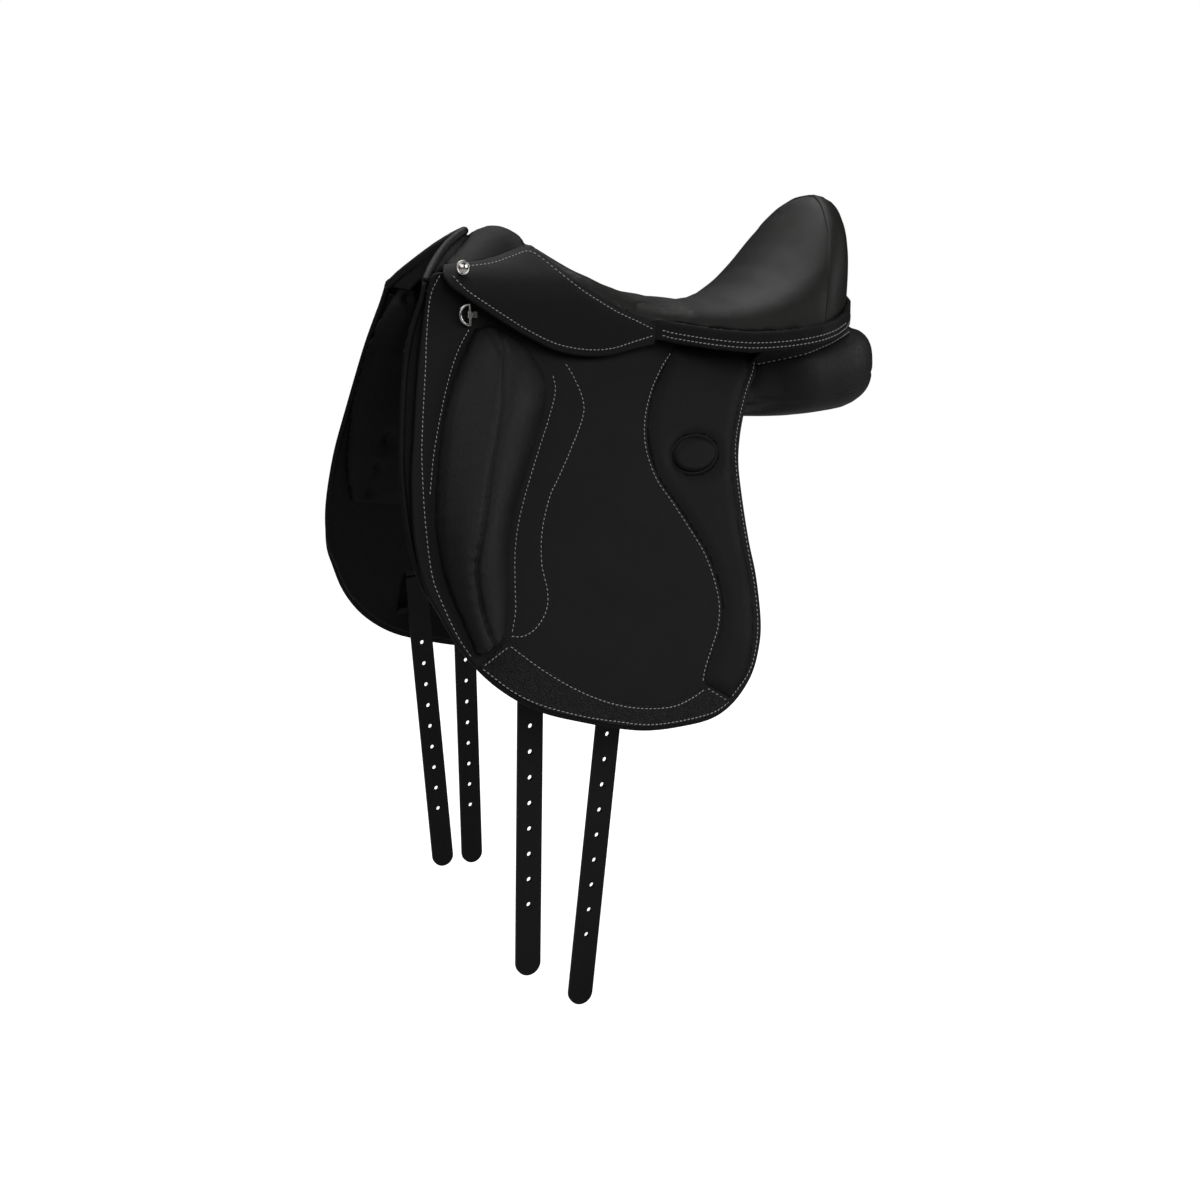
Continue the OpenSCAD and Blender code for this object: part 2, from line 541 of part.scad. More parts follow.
// Front panel pad inside the sweat flap, drawn down by its tufts
pad_lead = [[229, 134], [242, 116], [258, 88], [268, 55], [275, 15], [276, -20], [274, -54], [263, -92]];
pad_trail = [[208, 131], [202, 113], [168, 78], [160, 40], [161, 2], [166, -32], [177, -68], [196, -98]];
tufts = [[234, -23], [240, -54], [243, -82], [222, 122]];
tuft_depth = 6;
tuft_spread = 7;
pad_across = 12;
function tuft_pull(x, z) = let (d = [for (t = tufts) exp(-pow(norm([x, z] - t) / tuft_spread, 2) / 2)])
    tuft_depth * d * [for (t = tufts) 1];
function pad_ring(u) = let (a = on_curve(pad_lead, u), b = on_curve(pad_trail, u), last = len(pad_lead) - 1,
        full = pow(max(sin(180 * min(max((u + 0.25) / (last + 0.5), 0), 1)), 0), 0.35))
    concat([for (k = [0 : pad_across]) let (p = lerp(a, b, k / pad_across))
        [p[0], flap_y(p[1]) + pad_base(p[1]), p[1]]],
        [for (k = [pad_across - 1 : -1 : 1]) let (s = k / pad_across, p = lerp(a, b, s),
            swell = front_pad_thick * full * pow(sin(180 * s), 0.55) - tuft_pull(p[0], p[1]))
            [p[0], flap_y(p[1]) + pad_base(p[1]) - 1.2 - max(0.3, swell), p[1]]]);
// Above the plate's foot the pad stands clear of the plate's leg
function pad_base(z) = pad_out - lay
    - (plate_steel + 1.2) * min(max((z - leg_foot + 14) / 12, 0), 1);
module front_pad(side) color(lining) on_side(side)
    loft([for (u = [0 : 0.5 : len(pad_lead) - 1]) pad_ring(u)]);

// Panel: rings along the back, trimmed where the sweat flap covers it
panel_rings = [[-262, 56, 10, 9], [-257, 55, 26, 20], [-246, 55, lobe_half_width - 9, 33],
    [-231, 54, lobe_half_width - 3, 40],
    [-213, 50.5, lobe_half_width, 43], [-188, 44, lobe_half_width, 40], [-152, 37, lobe_half_width, 36],
    [-92, 35, lobe_half_width - 2, 34], [-32, 42, lobe_half_width - 7, 31],
    [28, 56, lobe_half_width - 12, 29], [80, 76, lobe_half_width - 20, 28],
    [118, 98, lobe_half_width - 28, 26], [146, 116, lobe_half_width - 34, 16]];
panel_shape = 0.72;
function panel_ring(r) = let (middle_y = gullet_half + 0.98 * r[2])
    [for (a = [0 : 22.5 : 337.5]) [r[0], middle_y + r[2] * signed_pow(cos(a), panel_shape),
        r[1] + r[3] * signed_pow(sin(a), panel_shape)]];
module panel_solid() difference() {
    loft([for (u = [0 : 0.5 : len(panel_rings) - 1]) reversed(panel_ring(on_curve(panel_rings, u)))]);
    slab(pad_out - lay, 120, -122, 300);
}
gusset_line = [[-92, gusset_height], [-150, gusset_height + 1], [-196, gusset_height + 6],
    [-228, gusset_height + 17], [-270, gusset_height + 42]];
module gusset_cut(grow) side_prism(concat([for (p = curve(gusset_line, 3)) p - [0, grow]],
    [[-270, -60], [-92, -60]]), 0);
module panel(side) color(lining) on_side(side) difference() {
    panel_solid();
    gusset_cut(0);
}
module gusset(side) color(leather) on_side(side) intersection() {
    panel_solid();
    gusset_cut(lay);
}

// Tree: two rails joined at the head and the cantle, under the seat
tree_sink = 4;
tree_top = concat([[158, arch_top - 4.3], [144, arch_top - 4.5], [130, 164], [118, 158]],
    [for (e = seat_edge) if (e[0] < 105 && e[0] > -236) [e[0], e[2] - tree_sink]]);
module tree_band(from, to) side_prism(concat([for (p = tree_top) p - [0, from]],
    [for (p = reversed(tree_top)) p - [0, to]]));
tree_plan = [[156, 8], [144, 11], [130, 24], [116, 38], [103, 58], [94, 63], [78, 63], [60, 66], [0, 70],
    [-60, 78], [-120, 94], [-165, 100], [-205, 80], [-228, 46], [-234, 0]];
tree_hole = [[96, 18], [60, 36], [0, 40], [-60, 48], [-120, 62], [-160, 64], [-190, 44], [-202, 0]];
module plan_ring(half) linear_extrude(far_side)
    polygon(concat(curve(half, 2), [for (p = reversed(curve(half, 2))) [p[0], -p[1]]]));
module tree() color(timber) difference() {
    intersection() {
        tree_band(0, tree_thick);
        plan_ring(tree_plan);
    }
    plan_ring(tree_hole);
    rivet_places(1.05);
}
module tree_spring(side) color(steel) on_side(side) intersection() {
    tree_band(tree_thick, tree_thick + spring_thick);
    linear_extrude(far_side)
        polygon([[96, 44], [0, 50], [-90, 58], [-170, 72], [-170, 82], [-90, 68], [0, 61], [96, 54]]);
}
module seat_webbing() color(webbing) intersection() {
    tree_band(-web_thick - 0.2, -0.2);
    linear_extrude(far_side) for (y = [-34, 6]) translate([-216, y]) square([324, 28]);
}
rivet_diameter = 5;
rivet_at = [[151, -7], [151, 7]];
module rivet_places(grow) for (r = rivet_at) translate([r[0], r[1], 150])
    cylinder(d = rivet_diameter * grow, h = 60);
module tree_rivets() color(steel) for (r = rivet_at) translate([r[0], r[1], arch_top - 14])
    cylinder(d = rivet_diameter, h = 13.8);

// Stirrup bar: back plate, arm and finger, with a catch that turns at the rear
plate_height = 16;
plate_lead = 14;
catch_pin = 3;
plate_tab = [28, 34];
catch_seat = 12;
catch_thick = 3.4;
catch_length = 16;
catch_radius = 4.2;
module stirrup_bar(side) color(steel) on_side(side) bar_frame() difference() {
    union() {
        translate([-bar_length, plate_y - bar_y - plate_thick, -plate_height / 2]) {
            cube([bar_length + plate_lead, plate_thick, plate_height]);
            cube([plate_tab[0], plate_thick, plate_tab[1] + plate_height / 2]);
        }
        translate([0, plate_y - bar_y - 1, -bar_diameter / 2])
            cube([bar_diameter, bar_y - plate_y + 1 + bar_diameter / 2, bar_diameter]);
        rotate([0, -90, 0]) translate([0, 0, -1]) cylinder(d = bar_diameter, h = bar_length + 1);
    }
    translate([-bar_length - 1, 0, -bar_diameter]) cube([catch_seat + 1, bar_diameter, 2 * bar_diameter]);
    translate([-bar_length + catch_seat / 2, -bar_diameter, 0]) rotate([-90, 0, 0])
        cylinder(d = catch_pin + 0.1, h = 2 * bar_diameter);
}
// The catch stands up to keep the stirrup leather on, and folds back in line to let it off
module bar_catch(side) color(steel) on_side(side) bar_frame()
    translate([-bar_length + catch_seat / 2, 0, 0]) {
    rotate([-90, 0, 0]) translate([0, 0, -bar_diameter / 2])
        cylinder(d = catch_pin, h = bar_diameter / 2 + 1);
    rotate([-90, 0, 0]) translate([0, 0, lay]) cylinder(r = catch_radius, h = catch_thick);
    translate([-catch_radius, lay, 0]) cube([2 * catch_radius, catch_thick, catch_length]);
}

tree();
head_plate();
tree_rivets();
tree_spring(1);  // near_tree_spring
tree_spring(-1);  // off_tree_spring
seat_webbing();
seat_foam();
seat_cover();
cantle_strip();
pommel_cap();
front_roll();
gullet_lining();
rear_strip();
skirt_top(1);  // near_skirt_top
skirt_top(-1);  // off_skirt_top
flap_top(1);  // near_flap_top
flap_top(-1);  // off_flap_top
panel(1);  // near_panel
panel(-1);  // off_panel
gusset(1);  // near_gusset
gusset(-1);  // off_gusset
front_pad(1);  // near_front_pad
front_pad(-1);  // off_front_pad
sweat_flap(1);  // near_sweat_flap
sweat_flap(-1);  // off_sweat_flap
girth_web(1);  // near_girth_web
girth_web(-1);  // off_girth_web
stirrup_bar(1);  // near_stirrup_bar
stirrup_bar(-1);  // off_stirrup_bar
on_side(1) stud();  // near_stud
on_side(-1) stud();  // off_stud
strap_root(1, 0);  // near_front_strap_root
strap_root(1, 1);  // near_rear_strap_root
strap_root(-1, 0);  // off_front_strap_root
strap_root(-1, 1);  // off_rear_strap_root
flap(1);  // near_flap
flap(-1);  // off_flap
knee_block(1);  // near_knee_block
knee_block(-1);  // off_knee_block
calf_pad(1);  // near_calf_pad
calf_pad(-1);  // off_calf_pad
wear_strip(1);  // near_wear_strip
wear_strip(-1);  // off_wear_strip
badge(1);  // near_badge
badge(-1);  // off_badge
dee_clip(1);  // near_dee_clip
dee_clip(-1);  // off_dee_clip
dee(1);  // near_dee
dee(-1);  // off_dee
skirt(1);  // near_skirt
skirt(-1);  // off_skirt
bar_catch(1);  // near_bar_catch
bar_catch(-1);  // off_bar_catch
strap(1, 0);  // near_front_strap
strap(1, 1);  // near_rear_strap
strap(-1, 0);  // off_front_strap
strap(-1, 1);  // off_rear_strap
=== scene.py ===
import math

import bmesh
import bpy
from mathutils import Matrix, Vector
from mathutils.bvhtree import BVHTree
from mathutils.kdtree import KDTree


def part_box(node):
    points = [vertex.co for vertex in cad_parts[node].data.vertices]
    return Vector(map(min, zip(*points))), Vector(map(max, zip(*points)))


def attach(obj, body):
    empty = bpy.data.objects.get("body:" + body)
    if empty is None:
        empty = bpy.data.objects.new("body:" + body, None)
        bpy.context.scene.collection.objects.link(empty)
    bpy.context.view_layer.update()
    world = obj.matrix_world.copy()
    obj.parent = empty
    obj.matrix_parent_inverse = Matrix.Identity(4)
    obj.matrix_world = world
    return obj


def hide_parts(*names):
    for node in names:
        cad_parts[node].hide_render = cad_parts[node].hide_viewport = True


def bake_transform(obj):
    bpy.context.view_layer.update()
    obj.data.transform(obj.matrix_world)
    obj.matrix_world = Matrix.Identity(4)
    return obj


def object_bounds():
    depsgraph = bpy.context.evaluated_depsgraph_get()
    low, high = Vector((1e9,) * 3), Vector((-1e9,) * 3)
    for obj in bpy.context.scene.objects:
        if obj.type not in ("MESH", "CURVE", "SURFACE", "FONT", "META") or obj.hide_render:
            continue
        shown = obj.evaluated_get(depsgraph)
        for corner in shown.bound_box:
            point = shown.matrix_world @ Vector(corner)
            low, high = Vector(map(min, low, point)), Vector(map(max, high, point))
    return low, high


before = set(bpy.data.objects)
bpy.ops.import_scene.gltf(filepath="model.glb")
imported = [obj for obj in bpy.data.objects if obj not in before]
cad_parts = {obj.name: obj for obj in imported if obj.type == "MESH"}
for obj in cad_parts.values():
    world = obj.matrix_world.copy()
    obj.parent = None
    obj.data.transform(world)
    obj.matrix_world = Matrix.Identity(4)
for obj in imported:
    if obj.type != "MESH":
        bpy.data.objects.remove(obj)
cad_low, cad_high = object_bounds()
scene = bpy.context.scene

# The camera stands low on the near side and ahead of the saddle.
# It looks at the middle of the whole, straps included, with everything in focus.
camera = bpy.data.objects.new("camera", bpy.data.cameras.new("camera"))
scene.collection.objects.link(camera)
camera.data.sensor_width = 36.0
camera.data.lens = 46.98
camera.location = (0.7314, 1.5058, 0.0763)
looked_at = Vector((0.026, 0.0, -0.196))
camera.rotation_mode = "QUATERNION"
camera.rotation_quaternion = (looked_at - camera.location).to_track_quat("-Z", "Y")
scene.camera = camera

# The tree is the saddle's skeleton: laminated beech, glued in a mould and sealed.
# Two rails run from the head to the cantle.
SIDES = {"near": 1, "off": -1}


def finish(name, **sockets):
    """A material whose shader starts from plain values, named by their sockets."""
    made = bpy.data.materials.new(name)
    made.use_nodes = True
    shader = made.node_tree.nodes["Principled BSDF"]
    for socket, value in sockets.items():
        shader.inputs[socket.replace("_", " ")].default_value = value
    return made


def add_node(tree, kind, **values):
    """A shader node whose inputs and settings are given by name."""
    node = tree.nodes.new("ShaderNode" + kind)
    for key, value in values.items():
        socket = key.replace("_", " ")
        if socket in node.inputs:
            node.inputs[socket].default_value = value
        else:
            setattr(node, key, value)
    return node


def dress(material, *nodes):
    """Puts a material on CAD solids that keep their own shape."""
    for name in nodes:
        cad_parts[name].data.materials.clear()
        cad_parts[name].data.materials.append(material)


def join(tree, *links):
    """Links nodes, each time from a node's output to another node's input."""
    for start, output, end, entry in links:
        tree.links.new(start.outputs[output], end.inputs[entry])


def two_tones(material, pattern, dark, light, stretch=(1.0, 1.0, 1.0)):
    """A colour between two tones, by a pattern that lies on the piece's own coordinates."""
    tree = material.node_tree
    place = add_node(tree, "TexCoord")
    scale = add_node(tree, "Mapping", Scale=stretch)
    ramp = add_node(tree, "ValToRGB")
    ramp.color_ramp.elements[0].color = (*dark, 1.0)
    ramp.color_ramp.elements[1].color = (*light, 1.0)
    join(tree, (place, "Object", scale, "Vector"), (scale, "Vector", pattern, "Vector"),
         (pattern, "Fac", ramp, "Fac"), (ramp, "Color", tree.nodes["Principled BSDF"], "Base Color"))


beech = finish("beech_laminate", Roughness=0.5)
plies = add_node(beech.node_tree, "TexNoise", Scale=40.0, Detail=6.0, Roughness=0.6)
two_tones(beech, plies, (0.42, 0.25, 0.12), (0.72, 0.52, 0.31), (0.4, 3.0, 9.0))
dress(beech, "tree")

# The head plate, its rivets, the tree springs and the stirrup bars with their catches are plain steel.
# They are pressed or forged, riveted to the tree, and a little rough from tumbling.
steel = finish("steel", Metallic=1.0, Roughness=0.34)
scuffs = add_node(steel.node_tree, "TexNoise", Scale=320.0, Detail=5.0, Roughness=0.7)
two_tones(steel, scuffs, (0.42, 0.42, 0.43), (0.66, 0.66, 0.67), (1.0, 0.2, 1.0))
dress(steel, "head_plate", "tree_rivets")
for side in SIDES:
    dress(steel, side + "_tree_spring", side + "_stirrup_bar", side + "_bar_catch")

# Linen webbing is strained over the tree under the seat, and carries the girth straps below it.
# It is undyed, in a plain weave of thick yarn.
webbing = finish("webbing", Roughness=0.9)
yarn = add_node(webbing.node_tree, "TexWave", Scale=160.0, Distortion=0.6)
two_tones(webbing, yarn, (0.36, 0.32, 0.24), (0.63, 0.58, 0.47))
dress(webbing, "seat_webbing", "near_girth_web", "off_girth_web")

# The seat is a deep bowl of foam under one drawn cover of soft calf leather.
# The cover is strained from pommel to cantle and nailed under the tree, so its edges are held.


def leather_group():
    """The shared look of dyed leather: a cell grain, cloudy dye and uneven polish."""
    made = bpy.data.node_groups.new("leather_skin", "ShaderNodeTree")
    for way, kind, names in (("INPUT", "Color", ("Dye", "Rubbed")), ("INPUT", "Float", ("Cells", "Polish")),
                             ("OUTPUT", "Color", ("Color",)), ("OUTPUT", "Float", ("Roughness", "Height"))):
        for name in names:
            made.interface.new_socket(name, in_out=way, socket_type="NodeSocket" + kind)
    given = made.nodes.new("NodeGroupInput")
    result = made.nodes.new("NodeGroupOutput")
    place = add_node(made, "TexCoord")
    warp = add_node(made, "TexNoise", Scale=260.0, Detail=2.0)
    bent = add_node(made, "MixRGB", blend_type="LINEAR_LIGHT", Fac=0.0016)
    cells = add_node(made, "TexVoronoi", feature="DISTANCE_TO_EDGE")
    fine = add_node(made, "TexNoise", Scale=1900.0, Detail=2.0)
    clouds = add_node(made, "TexNoise", Scale=17.0, Detail=4.0, Roughness=0.6)
    plump = add_node(made, "Math", operation="MULTIPLY")
    plump.inputs[1].default_value = 3.0
    plump.use_clamp = True
    height = add_node(made, "Math", operation="ADD")
    weak = add_node(made, "Math", operation="MULTIPLY")
    weak.inputs[1].default_value = 0.25
    tone = add_node(made, "MixRGB")
    uneven = add_node(made, "Math", operation="MULTIPLY_ADD")
    uneven.inputs[1].default_value = 0.22
    join(made, (place, "Object", warp, "Vector"), (place, "Object", bent, 1), (warp, "Color", bent, 2),
         (bent, "Color", cells, "Vector"), (given, "Cells", cells, "Scale"),
         (place, "Object", fine, "Vector"), (place, "Object", clouds, "Vector"),
         (cells, "Distance", plump, 0), (fine, "Fac", weak, 0), (plump, "Value", height, 0),
         (weak, "Value", height, 1), (clouds, "Fac", tone, "Fac"), (given, "Dye", tone, 1),
         (given, "Rubbed", tone, 2), (clouds, "Fac", uneven, 0), (given, "Polish", uneven, 2),
         (tone, "Color", result, "Color"), (uneven, "Value", result, "Roughness"),
         (height, "Value", result, "Height"))
    return made


leather_skin = leather_group()


def leather(name, dye, rubbed, cells, polish, relief, depth, shine):
    """A leather: its dye, its rubbed tone, grain cells per metre, polish, depth of grain and shine."""
    made = finish(name, Specular_IOR_Level=shine)
    tree = made.node_tree
    skin = add_node(tree, "Group", node_tree=leather_skin, Dye=(*dye, 1.0), Rubbed=(*rubbed, 1.0),
                    Cells=cells, Polish=polish)
    bump = add_node(tree, "Bump", Strength=relief, Distance=depth)
    shader = tree.nodes["Principled BSDF"]
    join(tree, (skin, "Color", shader, "Base Color"), (skin, "Roughness", shader, "Roughness"),
         (skin, "Height", bump, "Height"), (bump, "Normal", shader, "Normal"))
    return made


def new_piece(name, shape, material):
    """An object at the origin that holds a finished shape, with its material's slot."""
    mesh = bpy.data.meshes.new(name)
    shape.to_mesh(mesh)
    shape.free()
    mesh.materials.append(material)
    for face in mesh.polygons:
        face.use_smooth = True
    made = bpy.data.objects.new(name, mesh)
    scene.collection.objects.link(made)
    # The frame holds some of these names too, so Blender may add a number to them.
    return made


def merged(*nodes):
    """One shape from copies of CAD solids, with their loose triangles merged."""
    shape = bmesh.new()
    for node in nodes:
        shape.from_mesh(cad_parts[node].data)
    bmesh.ops.remove_doubles(shape, verts=shape.verts, dist=0.00002)
    return shape


def settle(piece):
    """Makes what the modifiers do a part of the mesh."""
    graph = bpy.context.evaluated_depsgraph_get()
    done = bpy.data.meshes.new_from_object(piece.evaluated_get(graph))
    piece.modifiers.clear()
    before = piece.data
    piece.data = done
    bpy.data.meshes.remove(before)
    for face in done.polygons:
        face.use_smooth = True


cover_frames = 20
even_passes = 12


def swell(piece, held, most):
    """Blows the cover out against its stuffing, held where it is sewn down, by a limited way."""
    rest = [vert.co.copy() for vert in piece.data.vertices]
    pinned = piece.vertex_groups.new(name="held")
    pinned.add([i for i, place in enumerate(rest) if held(place)], 1.0, "REPLACE")
    cloth = piece.modifiers.new("cover", "CLOTH")
    cloth.settings.quality = 4
    cloth.settings.mass = 0.4
    cloth.settings.vertex_group_mass = pinned.name
    cloth.settings.use_pressure = True
    cloth.settings.uniform_pressure_force = 4.0
    cloth.settings.effector_weights.gravity = 0.0
    for number in range(1, cover_frames + 1):
        scene.frame_set(number)
    settle(piece)
    scene.frame_set(1)
    piece.vertex_groups.clear()
    moves = [vert.co - place for vert, place in zip(piece.data.vertices, rest)]
    moves = [move * (most / max(move.length, most)) for move in moves]
    for _ in range(even_passes):
        total = [move.copy() for move in moves]
        count = [1] * len(moves)
        for line in piece.data.edges:
            a, b = line.vertices
            total[a] += moves[b]
            total[b] += moves[a]
            count[a] += 1
            count[b] += 1
        moves = [whole / shares for whole, shares in zip(total, count)]
    for vert, place, move in zip(piece.data.vertices, rest, moves):
        vert.co = place + move


def smoothed(piece, chosen, factors):
    """Evens out the chosen points of a piece, once for each factor."""
    shape = bmesh.new()
    shape.from_mesh(piece.data)
    verts = [vert for vert in shape.verts if chosen(vert)]
    for factor in factors:
        bmesh.ops.smooth_vert(shape, verts=verts, factor=factor,
                              use_axis_x=True, use_axis_y=True, use_axis_z=True)
    shape.to_mesh(piece.data)
    shape.free()


def rounded(name, nodes, material, cell, passes):
    """A soft piece in the space of CAD solids: an even skin with its edges eased."""
    piece = new_piece(name, merged(*nodes), material)
    even = piece.modifiers.new("even", "REMESH")
    even.mode = "VOXEL"
    even.voxel_size = cell
    settle(piece)
    smoothed(piece, lambda vert: True, (0.5, -0.52) * passes)
    return piece


def stuffed(name, nodes, material, cell, passes, held, most):
    """A padded piece: an even skin, blown out against its stuffing and made finer."""
    piece = rounded(name, nodes, material, cell, passes)
    swell(piece, held, most)
    fine = piece.modifiers.new("fine", "SUBSURF")
    fine.levels = fine.render_levels = 1
    settle(piece)
    return piece


def mm(*points):
    """Points that are given in millimetres."""
    return [tuple(value / 1000 for value in point) for point in points]


def share_of(value, start, end):
    """How far a value has gone from a start to an end, from 0 to 1."""
    return min(max((value - start) / (end - start), 0.0), 1.0)


def eased(share):
    """A share that starts and ends gently."""
    return share * share * (3 - 2 * share)


def tree_of(points):
    """A quick way to find the nearest of some points."""
    tree = KDTree(len(points))
    for i, point in enumerate(points):
        tree.insert(point, i)
    tree.balance()
    return tree


def normals_of(piece):
    """The way out of the leather at each point, kept while the points move."""
    return [vert.normal.copy() for vert in piece.data.vertices]


calf_leather = leather("seat_leather", (0.0062, 0.0053, 0.0047), (0.0108, 0.0092, 0.0081),
                       900.0, 0.4, 0.25, 0.0004, 0.3)
seat_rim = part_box("seat_cover")[0].z + 0.02
sewn_side = 0.1
seat = stuffed("seat", ("seat_cover", "seat_foam"), calf_leather, 0.005, 6,
               lambda place: place.z < seat_rim or abs(place.y) > sewn_side, 0.003)
strip_foot = mm(
    (1, 94.7, 79.5), (-13.9, 96.5, 76), (-53.5, 104.4, 70), (-88.2, 114.4, 67), (-118.5, 122.4, 68),
    (-145.1, 127.5, 71), (-166.5, 128.6, 75), (-186.4, 124.2, 80.5), (-204, 114.3, 87.5),
    (-218.1, 100.2, 95), (-229.8, 83.2, 102), (-239.2, 62.3, 107), (-245.4, 41.6, 110),
    (-249.5, 22.2, 111.5), (-251.5, 0, 112))
strip_depth = 0.020
rim_reach = 0.030
rim_front = 0.03
rim_drop = 0.003
rim_tuck = 0.002
tuck_fade = 0.006
rear_start = -0.11
rear_full = -0.19
rear_drop = 0.008
bowl_middle = -0.1
foot_tree = tree_of([(x, side * y, 0.0) for side in SIDES.values() for x, y, z in strip_foot])
for vert in seat.data.vertices:
    place, i, away = foot_tree.find((vert.co.x, vert.co.y, 0.0))
    above = vert.co.z - strip_foot[i % len(strip_foot)][2] - strip_depth
    if away < rim_reach and above < rim_reach and vert.co.x < rim_front:
        drop = rim_drop + rear_drop * share_of(vert.co.x, rear_start, rear_full)
        vert.co.z -= drop * eased(1.0 - share_of(above, 0.0, rim_reach))
        tuck = rim_tuck * (1.0 - share_of(above, 0.0, tuck_fade))
        vert.co -= Vector((vert.co.x - bowl_middle, vert.co.y, 0.0)).normalized() * tuck
front_start = -0.02
front_full = 0.03
front_spread = Vector((0.010, 0.003, 0.0))
front_drop = Vector((0.0, 0.0, 0.007))
for vert, normal in zip(seat.data.vertices, normals_of(seat)):
    wall = share_of(vert.co.x, front_start, front_full) * (1.0 - share_of(normal.z, 0.0, 1.0))
    vert.co += (normal * front_spread - front_drop) * wall
wall_start = 0.05
wall_slope = 0.8
smoothed(seat, lambda vert: vert.co.x > wall_start and vert.normal.z < wall_slope, (0.5,) * 8)
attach(seat, "root")
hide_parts("seat_cover", "seat_foam")

# A band of leather runs round the back of the cantle and closes the cover there.
# It is skived thin, folded under along both edges and sewn down flat; it is bare.


def skin_of(*pieces):
    """What rows and bands are laid on: the outside of some finished pieces."""
    graph = bpy.context.evaluated_depsgraph_get()
    return [BVHTree.FromObject(piece, graph) for piece in pieces]


def nearest_on(skins, place):
    """The nearest point on some pieces, with the way out of the leather there."""
    found = [skin.find_nearest(place) for skin in skins]
    point, normal, _, _ = min((hit for hit in found if hit[0]), key=lambda hit: hit[3])
    return point, normal


def run_through(points, step=None, count=None):
    """Evenly spaced points on a smooth curve through a few given ones."""
    given = [Vector(point) for point in points]
    whole = [given[0] * 2 - given[1], *given, given[-1] * 2 - given[-2]]
    dense = []
    for a, b, c, d in zip(whole, whole[1:], whole[2:], whole[3:]):
        for k in range(24):
            t = k / 24
            dense.append(0.5 * (2 * b + (c - a) * t + (2 * a - 5 * b + 4 * c - d) * t ** 2
                                + (3 * b - a - 3 * c + d) * t ** 3))
    dense.append(given[-1])
    length = sum((q - p).length for p, q in zip(dense, dense[1:]))
    count = count or max(2, round(length / step))
    spaced, gone, index = [dense[0]], 0.0, 0
    for k in range(1, count):
        wanted = length * k / count
        while gone + (dense[index + 1] - dense[index]).length < wanted:
            gone += (dense[index + 1] - dense[index]).length
            index += 1
        here, there = dense[index], dense[index + 1]
        spaced.append(here.lerp(there, (wanted - gone) / (there - here).length))
    return [*spaced, dense[-1]]


def over_the_top(points):
    """A curve on the near side that ends on the middle line, and its mirror image after it."""
    return [*points, *[(x, -y, z) for x, y, z in reversed(points[:-1])]]


band_front = mm(
    (-173, 121, 93), (-180, 114, 136), (-187, 102, 162), (-198, 84, 189), (-204, 69, 205), (-211, 50, 221),
    (-219, 22, 234), (-221, 0, 237))
band_rear = mm(
    (-235, 61, 118), (-237, 59, 148), (-239, 55, 165), (-241, 49, 182), (-242, 40, 196), (-243, 29, 205),
    (-244, 15, 211), (-245, 0, 213))
band_steps = 80
band_thick = 0.0014
seat_skin = skin_of(seat)
front_run = run_through(over_the_top(band_front), count=band_steps)
rear_run = run_through(over_the_top(band_rear), count=band_steps)
band_shape = bmesh.new()
bmesh.ops.create_grid(band_shape, x_segments=band_steps, y_segments=14, size=1.0)
for vert in band_shape.verts:
    station = round((vert.co.x + 1) / 2 * band_steps)
    across = 0.5 - 0.5 * math.cos((vert.co.y + 1) / 2 * math.pi)
    point, normal = nearest_on(seat_skin, front_run[station].lerp(rear_run[station], across))
    vert.co = point + normal * band_thick * min(1.0, 0.1 + 4.0 * math.sin(across * math.pi))
bmesh.ops.recalc_face_normals(band_shape, faces=band_shape.faces)
if sum(face.normal.z * face.calc_area() for face in band_shape.faces) < 0:
    bmesh.ops.reverse_faces(band_shape, faces=band_shape.faces)
band = new_piece("cantle_band", band_shape, calf_leather)
band_wall = band.modifiers.new("wall", "SOLIDIFY")
band_wall.thickness = 0.0012
band_wall.offset = -1.0
settle(band)
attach(band, "root")
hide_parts("cantle_strip")

# The pommel cap is a small stuffed piece over the head of the tree.
# It is cut from the same smooth leather as the flaps and sewn under the skirts on either side.
flap_leather = leather("flap_leather", (0.0039, 0.0038, 0.0038), (0.0057, 0.0056, 0.0055),
                       1000.0, 0.48, 0.22, 0.0003, 0.2)
cap_foot = 0.165
cap_front = 0.165
cap = stuffed("pommel_cap_leather", ("pommel_cap",), flap_leather, 0.0035, 4,
              lambda place: place.z < cap_foot or place.x > cap_front, 0.002)
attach(cap, "root")
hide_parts("pommel_cap")

# A rolled welt runs up the front edge and over the pommel, and finishes the edge of the leather.
# It is a strip of leather sewn round a cord. The lining of the arch is sewn behind it.
roll = rounded("front_welt", ("front_roll",), calf_leather, 0.0016, 3)
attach(roll, "root")
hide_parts("front_roll")
panel_leather = leather("panel_leather", (0.0075, 0.0069, 0.0067), (0.0135, 0.0121, 0.0116),
                        800.0, 0.42, 0.3, 0.0004, 0.32)
lining = rounded("arch_lining", ("gullet_lining",), panel_leather, 0.0016, 2)
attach(lining, "root")
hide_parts("gullet_lining")
arch_front = mm(
    (237, 59, 134), (228, 47, 145.5), (215, 31, 158.5), (199, 16, 172.5), (184, 7, 182.5), (175, 0, 187.5))
arch_back = mm(
    (220, 42, 130), (209, 36, 141), (196, 30, 150), (183, 22, 160), (173, 10, 169.5), (168, 0, 172))
arch_steps = 40


def lofted(name, upper, lower, rows, material, thick):
    """A sheet of leather between two runs of as many points."""
    steps = len(upper) - 1
    shape = bmesh.new()
    bmesh.ops.create_grid(shape, x_segments=steps, y_segments=rows, size=1.0)
    for vert in shape.verts:
        station = round((vert.co.x + 1) / 2 * steps)
        vert.co = upper[station].lerp(lower[station], (vert.co.y + 1) / 2)
    bmesh.ops.recalc_face_normals(shape, faces=shape.faces)
    piece = new_piece(name, shape, material)
    wall = piece.modifiers.new("wall", "SOLIDIFY")
    wall.thickness = thick
    wall.offset = 0.0
    settle(piece)
    return piece


